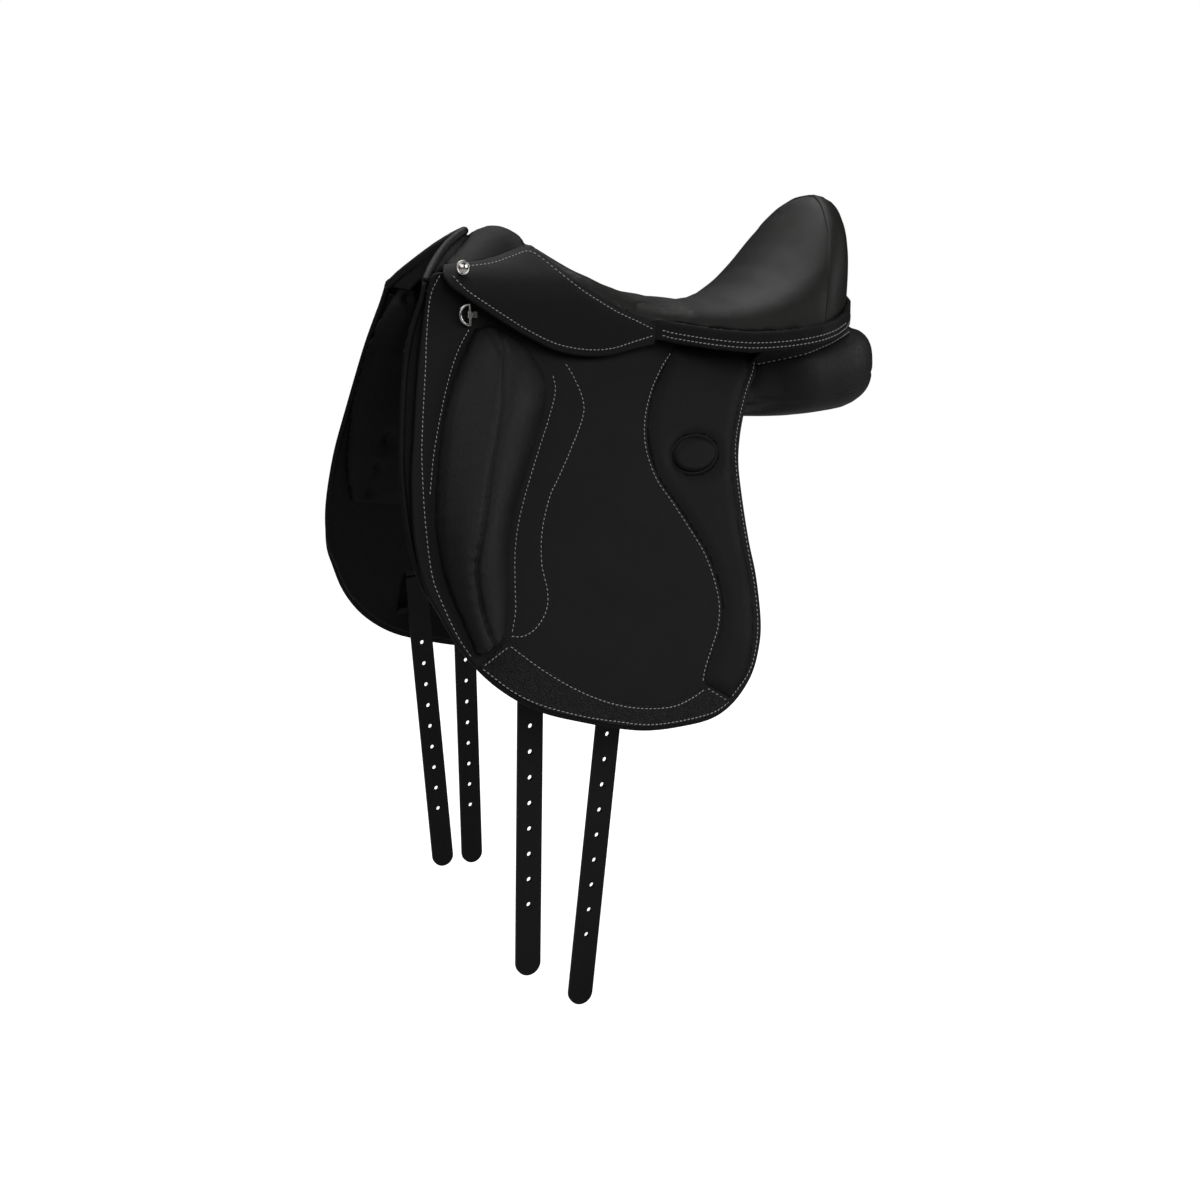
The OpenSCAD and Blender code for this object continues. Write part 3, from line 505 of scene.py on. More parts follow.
arch_runs = [run_through(over_the_top(points), count=arch_steps) for points in (arch_front, arch_back)]
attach(lofted("head_facing", *arch_runs, 6, panel_leather, 0.002), "root")

# The panels are soft leather bags stuffed with wool, one on each side of the gullet.
# Each ends in a full lobe behind, with a gusset sewn in below and a facing sewn on above.


def flipped(mesh):
    """A mesh's shape on the other side of the saddle."""
    shape = bmesh.new()
    shape.from_mesh(mesh)
    bmesh.ops.scale(shape, vec=(1.0, -1.0, 1.0), verts=shape.verts)
    bmesh.ops.reverse_faces(shape, faces=shape.faces)
    return shape


def fix_pair(piece, body, *nodes, fill=None, bend=None):
    """Fixes a near piece and its mirror image to their bodies in place of nodes; given a bend, it fixes them
    to no body and only bakes their placing into their meshes.
    """
    twin = new_piece(piece.name.replace("near", "off"), flipped(piece.data), piece.data.materials[0])
    for side, made in (("near", piece), ("off", twin)):
        if bend:
            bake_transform(made)
        else:
            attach(made, body if body == "root" else side + "_" + body)
        if nodes:
            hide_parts(*[side + "_" + node for node in nodes])


def line_at(points, x):
    """The height of a line of X and Z points at one X."""
    ordered = sorted(points)
    if x <= ordered[0][0]:
        return ordered[0][1]
    for (x0, z0), (x1, z1) in zip(ordered, ordered[1:]):
        if x <= x1:
            return z0 + (z1 - z0) * (x - x0) / (x1 - x0)
    return ordered[-1][1]


far_out = 0.4


def from_side(skin, x, z):
    """Where a look from far out on the near side first meets a piece."""
    return skin.ray_cast(Vector((x, far_out, z)), Vector((0.0, -1.0, 0.0)))


flap_half_width = 0.073
flap_flare = 0.45
flare_ease = 0.022


def flap_side(z):
    """How far out the flap's outer face stands at a height."""
    spread = math.log(1.0 + math.exp((flap_half_width - z) / flare_ease))
    return flap_half_width + flap_flare * flare_ease * spread


gusset_seam = mm((-270, 59.5), (-228, 34), (-196, 23.5), (-150, 18.5), (-92, 17))
facing_edge = mm((-262, 112), (-235, 96), (-214, 87), (-188, 76), (-152, 63), (-117, 53), (-60, 45))
seam_width = 0.0022
seam_depth = 0.0018
facing_lift = 0.0022
facing_fade = 0.0025
panel = stuffed("near_panel_bag", ("near_panel", "near_gusset"), panel_leather, 0.005, 5,
                lambda place: place.x > -0.06 or place.y < 0.045, 0.004)
lobe_skin = skin_of(panel)[0]
shoulder_start = -0.168
shoulder_end = -0.106
shoulder_inner = 0.06
face_start = -0.140
face_end = -0.121
face_foot = -0.112
face_low = 0.082
flat_end = -0.09
flap_gap = 0.0155
for vert, normal in zip(panel.data.vertices, normals_of(panel)):
    x, y, z = vert.co
    outward = normal.y > 0.0 or normal.x > 0.3
    lobe = from_side(lobe_skin, shoulder_start, z)[0]
    if lobe and outward and shoulder_start < x < flat_end and y > shoulder_inner:
        inside = flap_side(z) - flap_gap
        if x > face_end:
            x = face_foot + (x - face_end) / (flat_end - face_end) * (flat_end - face_foot)
        elif x > face_start:
            x = face_start + share_of(y, lobe.y, min(face_low, lobe.y - 0.004)) * (face_foot - face_start)
        share = eased(share_of(x, shoulder_start, shoulder_end))
        vert.co = Vector((x, lobe.y + (inside - lobe.y) * share, z))
smoothed(panel, lambda vert: -0.18 < vert.co.x < -0.08 and vert.co.y > 0.05, (0.5,) * 10)
seam_end = -0.06
seam_inner = 0.04
for vert, normal in zip(panel.data.vertices, normals_of(panel)):
    if vert.co.x > seam_end or vert.co.y < seam_inner:
        continue
    below = vert.co.z - line_at(gusset_seam, vert.co.x)
    above = vert.co.z - line_at(facing_edge, vert.co.x)
    sink = seam_depth * math.exp(-(below / seam_width) ** 2)
    vert.co += normal * (facing_lift * share_of(above, 0.0, facing_fade) - sink)
fix_pair(panel, "root", "panel", "gusset", fill=0.7)
facing_steps = 105
facing_top = [(-0.108, 0.1197, 0.0675), *strip_foot[4:]]
facing_upper = run_through(over_the_top([(x * 0.988, y * 0.967, z + 0.006) for x, y, z in facing_top]),
                           count=facing_steps)
bag_skin = skin_of(panel)[0]
back_start = -0.215
facing_drop = 0.028
facing_stand = 0.0014
facing_lower = []
for place in facing_upper:
    edge = line_at(facing_edge, place.x)
    hit = from_side(bag_skin, place.x, edge)[0]
    if hit and place.x > back_start:
        facing_lower.append(Vector((place.x, math.copysign(hit.y + facing_stand, place.y), edge)))
    else:
        facing_lower.append(Vector((place.x, place.y, place.z - facing_drop)))
facing = lofted("panel_facing", facing_upper, facing_lower, 4, panel_leather, 0.002)
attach(facing, "root")

# The front of each panel is a separate pad that lies against the shoulder.
# It is quilted to its backing with sewn tufts, which draw the leather in.
sweat_leather = leather("sweat_leather", (0.0032, 0.003, 0.0029), (0.0054, 0.005, 0.0048),
                        700.0, 0.42, 0.3, 0.0005, 0.16)
pad = stuffed("near_shoulder_pad", ("near_front_pad",), sweat_leather, 0.0028, 12,
              lambda place: False, 0.0025)
tuft_places = mm((234, -23), (240, -54), (243, -82), (222, 122))
tuft_width = 0.0055
tuft_depth = 0.0035
backing_gap = 0.017
backing_move = 0.002
for vert, normal in zip(pad.data.vertices, normals_of(pad)):
    away = [(vert.co.x - x) ** 2 + (vert.co.z - z) ** 2 for x, z in tuft_places]
    pull = sum(math.exp(-square / tuft_width ** 2) for square in away)
    if normal.y < -0.2:
        vert.co -= normal * tuft_depth * min(pull, 1.0)
    if vert.co.y > flap_side(vert.co.z) - backing_gap:
        vert.co.y += backing_move
fix_pair(pad, "root", "front_pad", fill=0.7)

# The sweat flaps are stout single sheets that keep the straps and the flap off the horse.
# Their edges are rounded and burnished, and two slots let the girth straps through.
# A corded welt edges them in front.


def cut_leather(runs, holes=()):
    """A flat piece cut to smooth runs in X and Z, with holes cut out of it."""
    shape = bmesh.new()
    loops = [[place for run in runs for place in run_through([(x, 0.0, z) for x, z in run], 0.004)[:-1]]]
    loops.extend([Vector((x, 0.0, z)) for x, z in hole] for hole in holes)
    for loop in loops:
        verts = [shape.verts.new(place) for place in loop]
        for here, there in zip(verts, [*verts[1:], verts[0]]):
            shape.edges.new((here, there))
    bmesh.ops.triangle_fill(shape, edges=shape.edges, use_beauty=True, normal=(0.0, 1.0, 0.0))
    bmesh.ops.recalc_face_normals(shape, faces=shape.faces)
    if sum(face.normal.y for face in shape.faces) < 0:
        bmesh.ops.reverse_faces(shape, faces=shape.faces)
    return shape


def gridded(shape, cell):
    """Cuts a flat piece along an even grid, so that it can bend; a rim in the second slot stays whole."""
    for axis in (Vector((1.0, 0.0, 0.0)), Vector((0.0, 0.0, 1.0))):
        reach = [axis.dot(vert.co) for vert in shape.verts]
        for k in range(1, int((max(reach) - min(reach)) / cell)):
            inner = [face for face in shape.faces if face.material_index == 0]
            lines = {line for face in inner for line in face.edges}
            ends = {vert for face in inner for vert in face.verts}
            bmesh.ops.bisect_plane(shape, geom=[*ends, *lines, *inner], dist=0.00005,
                                   plane_co=axis * (min(reach) + k * cell), plane_no=axis)


def leather_sheet(name, runs, side, material, thick, cell, holes=()):
    """A sheet of leather cut to an outline and bent to a side curve, with its edges rounded."""
    shape = cut_leather(runs, holes)
    rim = thick * 0.5
    for face in bmesh.ops.inset_region(shape, faces=shape.faces, thickness=rim, use_boundary=True)["faces"]:
        face.material_index = 1
    if not holes:
        bmesh.ops.dissolve_faces(shape, faces=[face for face in shape.faces if face.material_index == 0])
    gridded(shape, cell)
    for face in shape.faces:
        face.material_index = 0
    for vert in shape.verts:
        vert.co.y = side(vert.co.z)
    piece = new_piece(name, shape, material)
    wall = piece.modifiers.new("wall", "SOLIDIFY")
    wall.thickness = thick
    wall.offset = -1.0
    rounding = piece.modifiers.new("rounding", "BEVEL")
    rounding.width = rim * 0.9
    rounding.segments = 3
    rounding.limit_method = "ANGLE"
    rounding.angle_limit = math.radians(55)
    rounding.use_clamp_overlap = False
    settle(piece)
    return piece


sweat_edge = mm(
    (240, 128), (261, 70), (277, -3), (284, -48), (286, -100), (280, -140), (270, -160), (256, -189),
    (236, -215), (212, -235), (184, -250), (148, -261), (116, -269), (85, -274), (51, -274), (15, -270),
    (-3, -258), (-27, -237), (-42, -213), (-51, -187), (-56, -152), (-56, -120), (-58, -82), (-62, -45),
    (-70, -18), (-82, 9), (-93, 30), (-104, 47))
sweat_head = mm(
    (-104, 47), (-64, 60), (10, 70), (80, 84), (108, 90), (154, 100), (190, 114), (212, 120), (240, 128))
sweat_depth = 0.010
slot_low = -0.220
slot_high = -0.176
slot_corner = 0.006
slot_reach = {"near": ((0.074, 0.108), (0.164, 0.199)), "off": ((0.100, 0.133), (0.156, 0.191))}


def slot_outline(start, end):
    """A girth strap's slot, with its upper corners cut."""
    shoulder = slot_high - slot_corner
    return [(start, slot_low), (end, slot_low), (end, shoulder), (end - slot_corner, slot_high),
            (start + slot_corner, slot_high), (start, shoulder)]


sweat = {}
for side, reaches in slot_reach.items():
    slots = [slot_outline(*reach) for reach in reaches]
    piece = leather_sheet(side + "_sweat_leather", (sweat_edge, sweat_head),
                          lambda z: flap_side(z) - sweat_depth, sweat_leather, 0.0035, 0.009, slots)
    if side == "off":
        turned = flipped(piece.data)
        turned.to_mesh(piece.data)
        turned.free()
    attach(piece, "root")
    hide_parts(side + "_sweat_flap")
    sweat[side] = piece


def cord(name, run, radius, material):
    """A round cord under leather, along a run of points."""
    line = bpy.data.curves.new(name, "CURVE")
    line.dimensions = "3D"
    line.bevel_depth = radius
    line.bevel_resolution = 3
    line.use_fill_caps = True
    spline = line.splines.new("POLY")
    spline.points.add(len(run) - 1)
    for point, place in zip(spline.points, run):
        point.co = (*place, 1.0)
    laid_line = bpy.data.objects.new(name, line)
    scene.collection.objects.link(laid_line)
    graph = bpy.context.evaluated_depsgraph_get()
    tube = bmesh.new()
    tube_mesh = bpy.data.meshes.new_from_object(laid_line.evaluated_get(graph))
    tube.from_mesh(tube_mesh)
    bpy.data.meshes.remove(tube_mesh)
    bpy.data.objects.remove(laid_line)
    bmesh.ops.remove_doubles(tube, verts=tube.verts, dist=0.00001)
    bmesh.ops.recalc_face_normals(tube, faces=tube.faces)
    return new_piece(name, tube, material)


welt_radius = 0.0031
welt_inset = 0.0018
sweat_middle = 0.0118
sweat_skin = skin_of(sweat["near"])[0]
welt_head = 0.118
welt_step = 0.012
welt_points = [Vector((0.2375, 0.0595, 0.133))]
for k in range(28):
    z = welt_head - k * welt_step
    hit = sweat_skin.ray_cast(Vector((0.4, flap_side(z) - sweat_middle, z)), Vector((-1.0, 0.0, 0.0)))[0]
    if hit:
        welt_points.append(hit - Vector((welt_inset, 0.0, 0.0)))
welt = cord("near_sweat_welt", run_through(welt_points, 0.004), welt_radius, sweat_leather)
fix_pair(welt, "root")

# The girth straps are thick strips of strap leather, punched for the buckle and burnished on the edge.
# Each hangs from the webbing between the flaps and comes out through its slot.
strap_leather = leather("strap_leather", (0.0045, 0.0045, 0.0046), (0.008, 0.0078, 0.0078),
                        1100.0, 0.42, 0.3, 0.0004, 0.26)
for side in SIDES:
    for place in ("front", "rear"):
        for part in ("_strap_root", "_strap"):
            name = side + "_" + place + part
            dress(strap_leather, name)
            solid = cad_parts[name]
            weld = solid.modifiers.new("weld", "WELD")
            weld.merge_threshold = 0.00002
            edge = solid.modifiers.new("edge", "BEVEL")
            edge.width = 0.0007
            edge.segments = 2
            edge.limit_method = "ANGLE"

# The flap is one large sheet of smooth leather from the seat to below the rider's calf.
# It bends up along a line under the skirt, so the girth can be reached.
flap_fold = mm((239, 128), (-113, 47))
fold_above = 0.003
fold_below = 0.009


def fold_ends(fold):
    """The points between which leather turns over a fold line, square to the line."""
    (x0, z0), (x1, z1) = fold
    along = Vector((x0 - x1, 0.0, z0 - z1)).normalized()
    down = Vector((along.z, 0.0, -along.x))
    middle = Vector(((x0 + x1) / 2, 0.0, (z0 + z1) / 2))
    return middle - down * fold_above, middle + down * fold_below


flap_bend = fold_ends(flap_fold)
flap_edge = mm(
    (239, 128), (251, 70), (267, -3), (277, -48), (283, -100), (280, -140), (270, -167), (256, -196),
    (236, -222), (212, -242), (184, -257), (148, -268), (116, -276), (85, -281), (51, -281), (15, -277),
    (-12, -265), (-36, -244), (-51, -220), (-60, -194), (-65, -152), (-65, -120), (-67, -82), (-71, -45),
    (-79, -18), (-91, 9), (-102, 30), (-113, 47), (-115, 71))
flap_head = mm(
    (-115, 71), (-60, 72.5), (-20, 79), (0, 90), (30, 103), (60, 116), (88, 128), (108, 135), (138, 137),
    (196, 139), (231, 142.5), (239, 128))
flap = leather_sheet("near_flap_leather", (flap_edge, flap_head), flap_side, flap_leather,
                     0.005, 0.006)
fix_pair(flap, "flap", "flap", "flap_top", bend=flap_bend)

# Behind the leg the flap has a raised pad with a soft edge, cut round the oval badge.
# It is thin foam under the flap's own leather, and the badge is a plain oval of the same.


def raised(name, runs, rise, edge, cell, holes=()):
    """A low pad on the flap: level on top, round at its edge and round its holes."""
    shape = cut_leather(runs, holes)
    gridded(shape, cell)
    parts = 4
    rim = [line.verts for line in shape.edges if line.is_boundary]
    tree = tree_of([here.co.lerp(there.co, k / parts) for here, there in rim for k in range(parts)])
    shares = [min(tree.find(vert.co)[2] / edge, 1.0) for vert in shape.verts]
    for vert, share in zip(shape.verts, shares):
        vert.co.y = flap_side(vert.co.z) + rise * math.sin(share * math.pi / 2)
    piece = new_piece(name, shape, flap_leather)
    wall = piece.modifiers.new("wall", "SOLIDIFY")
    wall.thickness = 0.001
    wall.offset = -1.0
    settle(piece)
    return piece


def oval(middle, length, height, tilt, count):
    """Points round an oval in X and Z."""
    made = []
    for k in range(count):
        turn = math.tau * k / count
        x, z = length / 2 * math.cos(turn), height / 2 * math.sin(turn)
        made.append((middle[0] + x * math.cos(tilt) - z * math.sin(tilt),
                     middle[1] + x * math.sin(tilt) + z * math.cos(tilt)))
    return made


badge_middle = (-0.022, -0.033)
badge_length = 0.052
badge_height = 0.034
badge_tilt = math.radians(-14)
badge_gap = 0.0035
pad_front = mm(
    (-20, 74), (-14, 64), (-4, 52), (11, 30), (23, 2), (28, -26), (23, -55), (11, -77), (-2, -102),
    (-15, -131), (-20, -168), (-14, -194), (-2, -214), (12, -233), (16, -246))
pad_foot = mm((16, -246), (-8, -261))
pad_rear = mm(
    (-8, -261), (-30, -242), (-43, -218), (-51, -193), (-56, -152), (-56, -120), (-58, -82), (-62, -45),
    (-70, -18), (-82, 9), (-93, 30), (-104, 47), (-106, 72))
pad_head = mm((-106, 72), (-20, 74))
badge_hole = oval(badge_middle, badge_length + badge_gap, badge_height + badge_gap, badge_tilt, 44)
calf_pad = raised("near_calf_pad_leather", (pad_front, pad_foot, pad_rear, pad_head),
                  0.0036, 0.012, 0.0035, [badge_hole])
fix_pair(calf_pad, "flap", "calf_pad", fill=0.5, bend=flap_bend)
badge_outline = oval(badge_middle, badge_length, badge_height, badge_tilt, 24)
badge = raised("near_badge_leather", ([*badge_outline, badge_outline[0]],), 0.0044, 0.005, 0.0018)
fix_pair(badge, "flap", "badge")

# The wear strip along the flap's foot is pebble-grained leather, tougher than the flap.
# It takes the rub of the boot and the girth, and is sewn down all round.
grained = leather("grained_leather", (0.0095, 0.0093, 0.0093), (0.0165, 0.0162, 0.0162),
                  420.0, 0.46, 1.0, 0.0018, 0.34)
wear_head = mm(
    (210, -192), (181, -217), (152, -236), (122, -250), (91, -258), (57, -260), (33, -254), (18, -249))
wear_end = mm((18, -249), (-5, -264))
wear_foot = mm(
    (-5, -264), (15, -273.5), (51, -277.5), (85, -277.5), (116, -273), (148, -264.5), (184, -253.5),
    (210, -239), (232, -221), (241, -212))
wear_front = mm((241, -212), (210, -192))
wear_thick = 0.0016
wear = leather_sheet("near_wear_leather", (wear_head, wear_end, wear_foot, wear_front),
                     lambda z: flap_side(z) + wear_thick, grained, wear_thick, 0.007)
fix_pair(wear, "flap", "wear_strip")

# The knee block is a long firm cushion of foam in soft leather, in two lobes with a seam between.
# It is sewn to the flap, tapers to its foot, and the rear lobe is pinched in above the foot.


def groove(piece, run, width, depth):
    """Draws a sewn line into a padded piece."""
    tree = tree_of(run)
    for vert, normal in zip(piece.data.vertices, normals_of(piece)):
        gone = tree.find(vert.co)[2] / width
        if gone < 3:
            vert.co -= normal * depth * math.exp(-gone * gone)


def laid(skins, points, step):
    """A smooth run of points in X and Z, laid sideways on the outside of some pieces."""
    found = []
    for x, z in run_through(points, step):
        hits = [from_side(skin, x, z) for skin in skins]
        hits = [hit for hit in hits if hit[0]]
        if hits:
            found.append(min(hits, key=lambda hit: hit[3])[:2])
    return found


block_leather = leather("soft_leather", (0.0055, 0.005, 0.0049), (0.0095, 0.0085, 0.0081),
                        850.0, 0.4, 0.28, 0.0004, 0.28)
flap_skin = skin_of(flap)[0]
sewn_reach = 0.006


def on_flap(place):
    """True where the block lies on the flap."""
    hit = from_side(flap_skin, place.x, place.z)[0]
    return bool(hit) and place.y - hit.y < sewn_reach


block = stuffed("near_knee_cushion", ("near_knee_block",), block_leather, 0.003, 12,
                on_flap, 0.0035)
block_sink = 0.003
sink_reach = 0.008
for vert in block.data.vertices:
    vert.co.y -= block_sink * (1.0 - share_of(vert.co.y - flap_side(vert.co.z), 0.0, sink_reach))
block_seam = mm(
    (172, 88), (174, 68), (187, 23), (203, -21), (210, -39), (223, -82), (236, -123), (236, -152),
    (232, -179), (226, -196))
seam_run = [point for point, normal in laid(skin_of(block), block_seam, 0.0015)]
groove(block, seam_run, 0.0023, 0.0017)
welt_run = [point - normal * 0.0005 for point, normal in laid(skin_of(block), block_seam, 0.003)]
fix_pair(cord("near_knee_welt", welt_run, 0.0011, block_leather), "flap")
fix_pair(block, "flap", "knee_block", fill=0.85)

# The skirt covers the stirrup bar. Its upper edge is sewn to the seat, and the rest lifts.
# It is one sheet of the flap's leather with a thick turned edge.
# Strips sewn in underneath close its joins.
skirt_fold = mm((226, 139), (6, 95))
skirt_edge = mm(
    (222, 152), (227, 141), (222, 130), (208, 119), (189, 107), (164, 92), (143, 81), (115, 69), (84, 63.5),
    (56, 64.5), (28, 71), (7, 75))
skirt_end = mm((7, 75), (6, 99))
skirt_head = mm(
    (6, 99), (26, 106), (47, 113), (67, 123.5), (87, 136), (103, 152), (113, 164), (126, 173.5), (148, 167),
    (172, 159), (200, 154), (222, 152))
skirt_section = mm(
    (60, 90.6), (116, 90.6), (124, 90.2), (130, 88.9), (138, 84), (146, 76.9), (153, 68.9), (160, 60.3),
    (167, 52), (174, 44.3))
skirt = leather_sheet("near_skirt_leather", (skirt_edge, skirt_end, skirt_head),
                      lambda z: line_at(skirt_section, z), flap_leather, 0.004, 0.004)
tuck_reach = 0.012
tuck_most = 0.0025
tuck_stand = {True: 0.0006, False: -0.0024}
head_tree = tree_of(run_through([(x, 0.0, z) for x, z in skirt_head], 0.003))
seat_skins = skin_of(seat, cap)
for vert in skirt.data.vertices:
    away = head_tree.find((vert.co.x, 0.0, vert.co.z))[2]
    if away < tuck_reach:
        outer = vert.co.y > line_at(skirt_section, vert.co.z) - 0.002
        point, normal = nearest_on(seat_skins, vert.co)
        move = point + normal * tuck_stand[outer] - vert.co
        vert.co += move * (1.0 - away / tuck_reach) ** 2 * min(1.0, tuck_most / move.length)
skirt_bend = fold_ends(skirt_fold)
fix_pair(skirt, "skirt", "skirt", "skirt_top", bend=skirt_bend)
joint_depth = 0.004


def joined(name, outer, skins):
    """A strip of leather sewn in underneath, from an edge into the piece beside it."""
    inner = []
    for place in outer:
        point, normal = nearest_on(skins, place)
        inner.append(point - normal * joint_depth)
    return lofted(name, outer, inner, 3, calf_leather, 0.001)


skirt_under = []
for place in run_through([(x, 0.0, z) for x, z in skirt_head[2:]], 0.004):
    z = place.z - joint_depth
    skirt_under.append(Vector((place.x, line_at(skirt_section, z) - joint_depth, z)))
fix_pair(joined("near_skirt_joint", skirt_under, seat_skins), "root")
cap_under = mm((131, 43, 159), (131, 40, 162.5), (131, 30, 172), (131, 15, 180), (131, 0, 183))
seat_under = mm((107, 47, 155), (109, 42, 160), (110, 30, 167), (110, 15, 170), (110, 0, 170))
under_steps = 24
cap_run = run_through(over_the_top(cap_under), count=under_steps)
seat_run = run_through(over_the_top(seat_under), count=under_steps)
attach(lofted("cap_joint", cap_run, seat_run, 4, calf_leather, 0.001), "root")

# A strip runs on from the skirts round the foot of the seat and behind the cantle.
# It is a folded band of the flap's leather, sewn along its foot.
strip = rounded("seat_foot_strip", ("rear_strip",), flap_leather, 0.0016, 4)
strip_tail = 0.045
strip_flush = 0.0034
strip_front = 0.0045
tongue_start = 0.0022
tongue_length = 0.009
tongue_tuck = 0.0042
for vert in strip.data.vertices:
    toward = -1.0 if vert.co.y > 0 else 1.0
    vert.co.y += toward * strip_flush * eased(share_of(vert.co.x, -strip_tail, strip_front))
    if vert.co.x > tongue_start:
        vert.co.x += tongue_length
        vert.co.y += toward * tongue_tuck
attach(strip, "root")
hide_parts("rear_strip")
strip_under = []
for place in run_through(over_the_top(strip_foot[1:]), 0.005):
    inward = Vector((bowl_middle - place.x, -place.y, 0.0)).normalized()
    strip_under.append(place + inward * 0.002 + Vector((0.0, 0.0, strip_depth - joint_depth)))
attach(joined("strip_joint", strip_under, seat_skin), "root")

# Pale grey thread, waxed and twisted, sews the leather in rows of long stitches.
# Each stitch stands a little proud of the leather and leans in its hole.
thread = finish("thread", Roughness=0.75)
twist = add_node(thread.node_tree, "TexNoise", Scale=900.0, Detail=2.0)
two_tones(thread, twist, (0.38, 0.37, 0.36), (0.68, 0.665, 0.645))
stitch_pitch = 0.0043
stitch_length = 0.0031
stitch_width = 0.0009
stitch_lean = math.radians(7)
one_stitch = bpy.data.meshes.new("one_stitch")
stitch = bmesh.new()
bmesh.ops.create_uvsphere(stitch, u_segments=6, v_segments=4, radius=0.5)
bmesh.ops.rotate(stitch, verts=stitch.verts, matrix=Matrix.Rotation(math.pi / 2, 3, "Y"))
bmesh.ops.scale(stitch, verts=stitch.verts, vec=(stitch_length, stitch_width, stitch_width))
bmesh.ops.rotate(stitch, verts=stitch.verts, matrix=Matrix.Rotation(stitch_lean, 3, "Z"))
stitch.to_mesh(one_stitch)
stitch.free()


def stitches(name, rows):
    """All the stitches of some rows, each row a list of points with the way out of the leather."""
    shape = bmesh.new()
    for row in rows:
        for (here, normal), (there, _) in zip(row, row[1:]):
            along = (there - here).normalized()
            across = normal.cross(along).normalized()
            place = Matrix((along, across, along.cross(across))).transposed().to_4x4()
            place.translation = (here + there) / 2 + normal * 0.0001
            done = len(shape.verts)
            shape.from_mesh(one_stitch)
            shape.verts.ensure_lookup_table()
            for vert in shape.verts[done:]:
                vert.co = place @ vert.co
    return new_piece(name, shape, thread)


flap_rows = [
    mm((225, 144), (237, 122), (243, 86), (248, 51), (259, -2), (264, -28), (270, -80), (272, -130),
       (267, -155), (257, -185), (247, -204)),
    mm((200, 90), (214, 68), (230, 33), (250, -20), (262, -62)),
    mm((118, 46), (118, 30), (130, 4), (145, -23), (166, -62), (180, -92), (188, -117), (193, -143),
       (197, -167), (204, -186)),
    mm((103, 57), (96, 44), (90, 22), (94, 4), (115, -29), (132, -53), (143, -68), (157, -99), (163, -128),
       (162, -153), (167, -170), (180, -184), (194, -190), (206, -189)),
    mm((-15, 67), (-2, 52), (13, 30), (26, 2), (31, -26), (26, -55), (14, -77), (1, -102), (-12, -131),
       (-17, -168), (-11, -194), (1, -214), (13, -233), (18, -244)),
    mm((-113, 62), (-108, 48), (-96, 28), (-86, 9), (-73, -20), (-67, -45), (-63, -82), (-61, -122),
       (-60, -160), (-55, -196), (-46, -221), (-33, -241), (-10, -260))]
flap_skins = skin_of(flap, calf_pad)
wear_rows = [
    mm((209, -197), (181, -220), (152, -239), (122, -253), (91, -261), (57, -263), (33, -257), (19, -251)),
    mm((239, -214), (213, -236), (187, -250), (148, -263), (117, -270), (85, -276), (51, -276), (15, -272),
       (-6, -264)),
    mm((211, -198), (237, -212)),
    mm((15, -250), (-4, -263))]
flap_runs = [laid(flap_skins, row, stitch_pitch) for row in flap_rows]
flap_runs.extend(laid(skin_of(wear, flap), row, stitch_pitch) for row in wear_rows)
fix_pair(stitches("near_flap_stitches", flap_runs), "flap", bend=flap_bend)
skirt_rows = [
    mm((218, 140), (213, 132), (204, 124), (188, 114), (163, 99), (143, 88), (115, 76), (84, 70.5),
       (56, 71.5), (28, 79), (10, 84)),
    mm((200, 149), (172, 153), (149, 160), (128, 166), (117, 158), (107, 146), (90, 130), (70, 118),
       (49, 107), (27, 98), (10, 90.5))]
skirt_runs = [laid(skin_of(skirt), row, stitch_pitch) for row in skirt_rows]
fix_pair(stitches("near_skirt_stitches", skirt_runs), "skirt", bend=skirt_bend)
strip_rows = [[(x, y, z + 0.005) for x, y, z in strip_foot],
              [(x, y, z + 0.010) for x, y, z in strip_foot[:9]]]
row_share = 0.16
row_stand = 0.0011
facing_row = []
for i in range(1, facing_steps // 2):
    rise = facing_upper[i] - facing_lower[i]
    normal = rise.cross(facing_lower[i + 1] - facing_lower[i - 1]).normalized()
    if normal.dot(Vector((facing_lower[i].x - bowl_middle, facing_lower[i].y, 0.0))) <= 0:
        normal.negate()
    facing_row.append((facing_lower[i] + rise * row_share + normal * row_stand, normal))
strip_skin = skin_of(strip)
root_runs = [[nearest_on(strip_skin, place) for place in run_through(row, stitch_pitch)]
             for row in strip_rows]
fix_pair(stitches("near_seat_stitches", [*root_runs, facing_row]), "root")

# The stud pins the front of the skirt, and the dee hangs in its clip below it for a breastplate.
# Both are cast, nickel-plated and polished.
nickel = finish("nickel", Metallic=1.0, Roughness=0.2)
haze = add_node(nickel.node_tree, "TexNoise", Scale=300.0, Detail=4.0)
two_tones(nickel, haze, (0.58, 0.56, 0.53), (0.74, 0.72, 0.69))
stud_low, stud_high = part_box("near_stud")
stud_middle = (stud_low + stud_high) / 2
stud_radius = (stud_high.x - stud_low.x) / 2
stud_face = stud_high.y - 0.0034
stud_outline = [(0.0, -0.005), (0.5, -0.005), (0.5, 0.0), (1.0, 0.0), (1.0, 0.0012), (0.96, 0.0018),
                (0.88, 0.0021), (0.8, 0.0019), (0.74, 0.0015), (0.68, 0.0017), (0.5, 0.0026), (0.26, 0.0032),
                (0.0, 0.0034)]
stud = bmesh.new()
last = None
for share, out in stud_outline:
    vert = stud.verts.new((stud_middle.x + share * stud_radius, stud_face + out, stud_middle.z))
    if last:
        stud.edges.new((last, vert))
    last = vert
bmesh.ops.spin(stud, geom=[*stud.verts, *stud.edges], axis=(0.0, 1.0, 0.0), steps=36,
               cent=(stud_middle.x, 0.0, stud_middle.z), angle=math.tau, use_merge=True)
bmesh.ops.remove_doubles(stud, verts=stud.verts, dist=0.00001)
bmesh.ops.recalc_face_normals(stud, faces=stud.faces)
fix_pair(new_piece("near_stud_head", stud, nickel), "root", "stud")
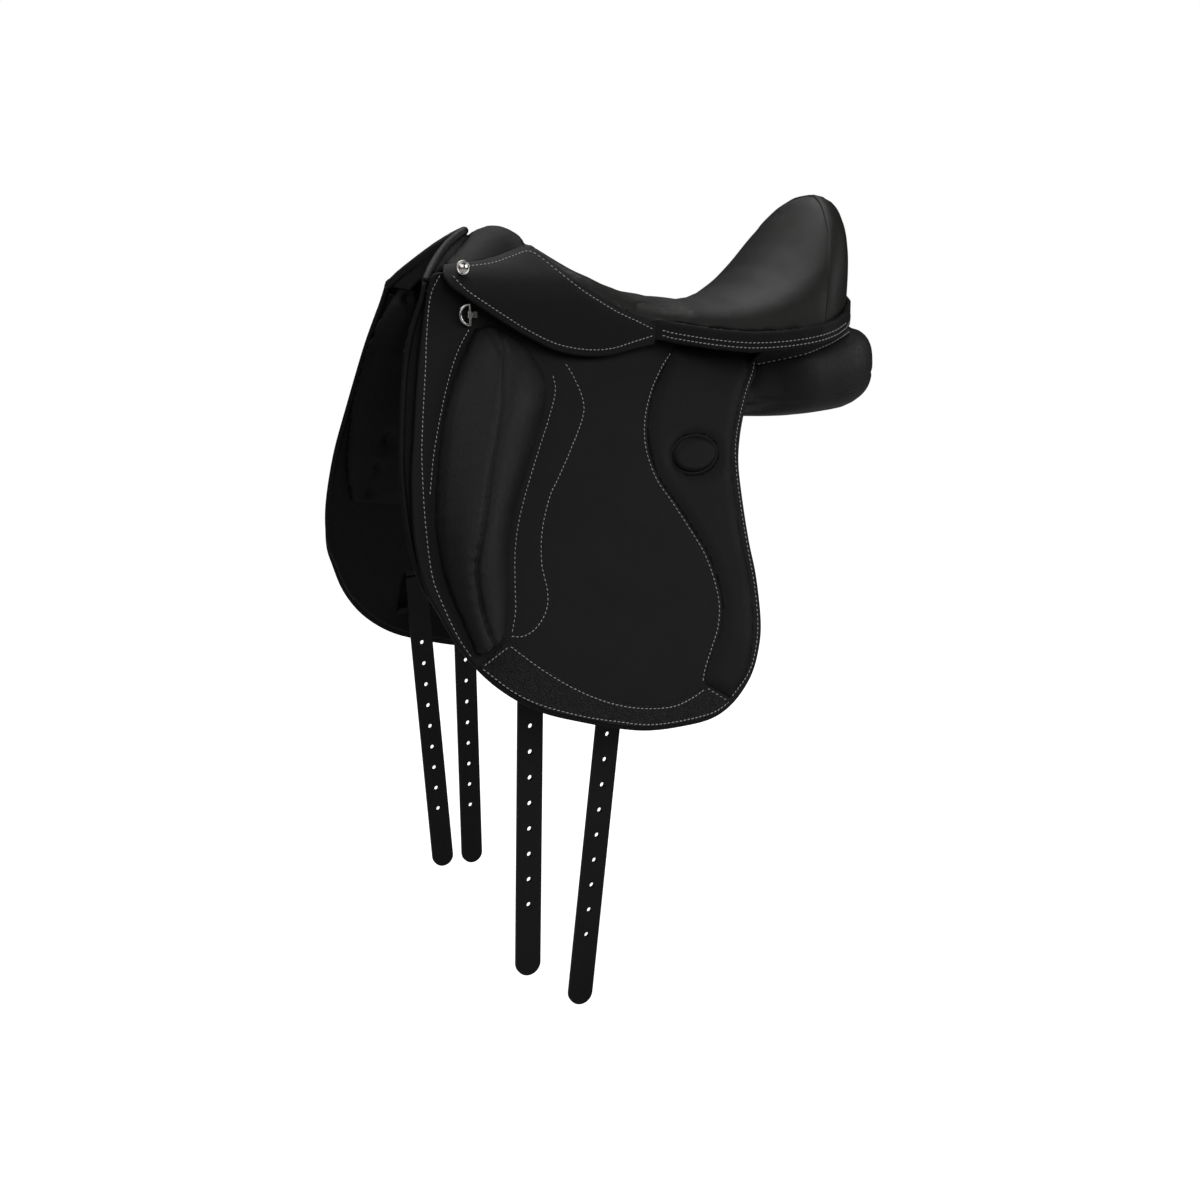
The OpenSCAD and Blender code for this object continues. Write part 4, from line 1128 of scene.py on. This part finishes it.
for side in SIDES:
    dress(nickel, side + "_dee_clip", side + "_dee")

# The saddle hangs over a plain pale floor that looks white to the camera.
# Five large soft lamps stand round it: two above, one on the near side, one in front and one behind.
# The world around is white, and lights the saddle only weakly.
floor_shape = bmesh.new()
bmesh.ops.create_grid(floor_shape, x_segments=1, y_segments=1, size=9.0)
bmesh.ops.translate(floor_shape, verts=floor_shape.verts, vec=(0.0, 0.0, cad_low.z - 0.02))
floor_mesh = bpy.data.meshes.new("floor")
floor_shape.to_mesh(floor_mesh)
floor_shape.free()
floor = bpy.data.objects.new("floor", floor_mesh)
scene.collection.objects.link(floor)
pale = finish("floor", Base_Color=(0.6, 0.6, 0.6, 1.0), Roughness=0.9, Emission_Color=(1.0, 1.0, 1.0, 1.0))
sight = add_node(pale.node_tree, "LightPath")
join(pale.node_tree, (sight, "Is Camera Ray", pale.node_tree.nodes["Principled BSDF"], "Emission Strength"))
floor_mesh.materials.append(pale)
lamps = {"key": ((1.4, -0.3, 2.0), 1.6, 9.0), "top": ((0.0, -0.7, 2.1), 2.0, 27.0),
         "near": ((0.4, 2.3, 1.3), 2.0, 18.0), "front": ((2.3, 0.9, 0.4), 1.2, 1.5),
         "rear": ((-1.9, 1.3, 0.9), 1.2, 16.0)}
for name, (place, size, power) in lamps.items():
    lamp = bpy.data.objects.new(name, bpy.data.lights.new(name, "AREA"))
    scene.collection.objects.link(lamp)
    lamp.data.size = size
    lamp.data.energy = power
    lamp.location = place
    lamp.rotation_mode = "QUATERNION"
    lamp.rotation_quaternion = (looked_at - lamp.location).to_track_quat("-Z", "Y")
world = bpy.data.worlds.new("studio")
scene.world = world
world.use_nodes = True
backdrop = world.node_tree.nodes["Background"]
backdrop.inputs["Color"].default_value = (1.0, 1.0, 1.0, 1.0)
seen = add_node(world.node_tree, "LightPath")
strength = add_node(world.node_tree, "MapRange", To_Min=0.035, To_Max=1.0)
join(world.node_tree, (seen, "Is Camera Ray", strength, "Value"), (strength, "Result", backdrop, "Strength"))
scene.view_settings.view_transform = "Standard"
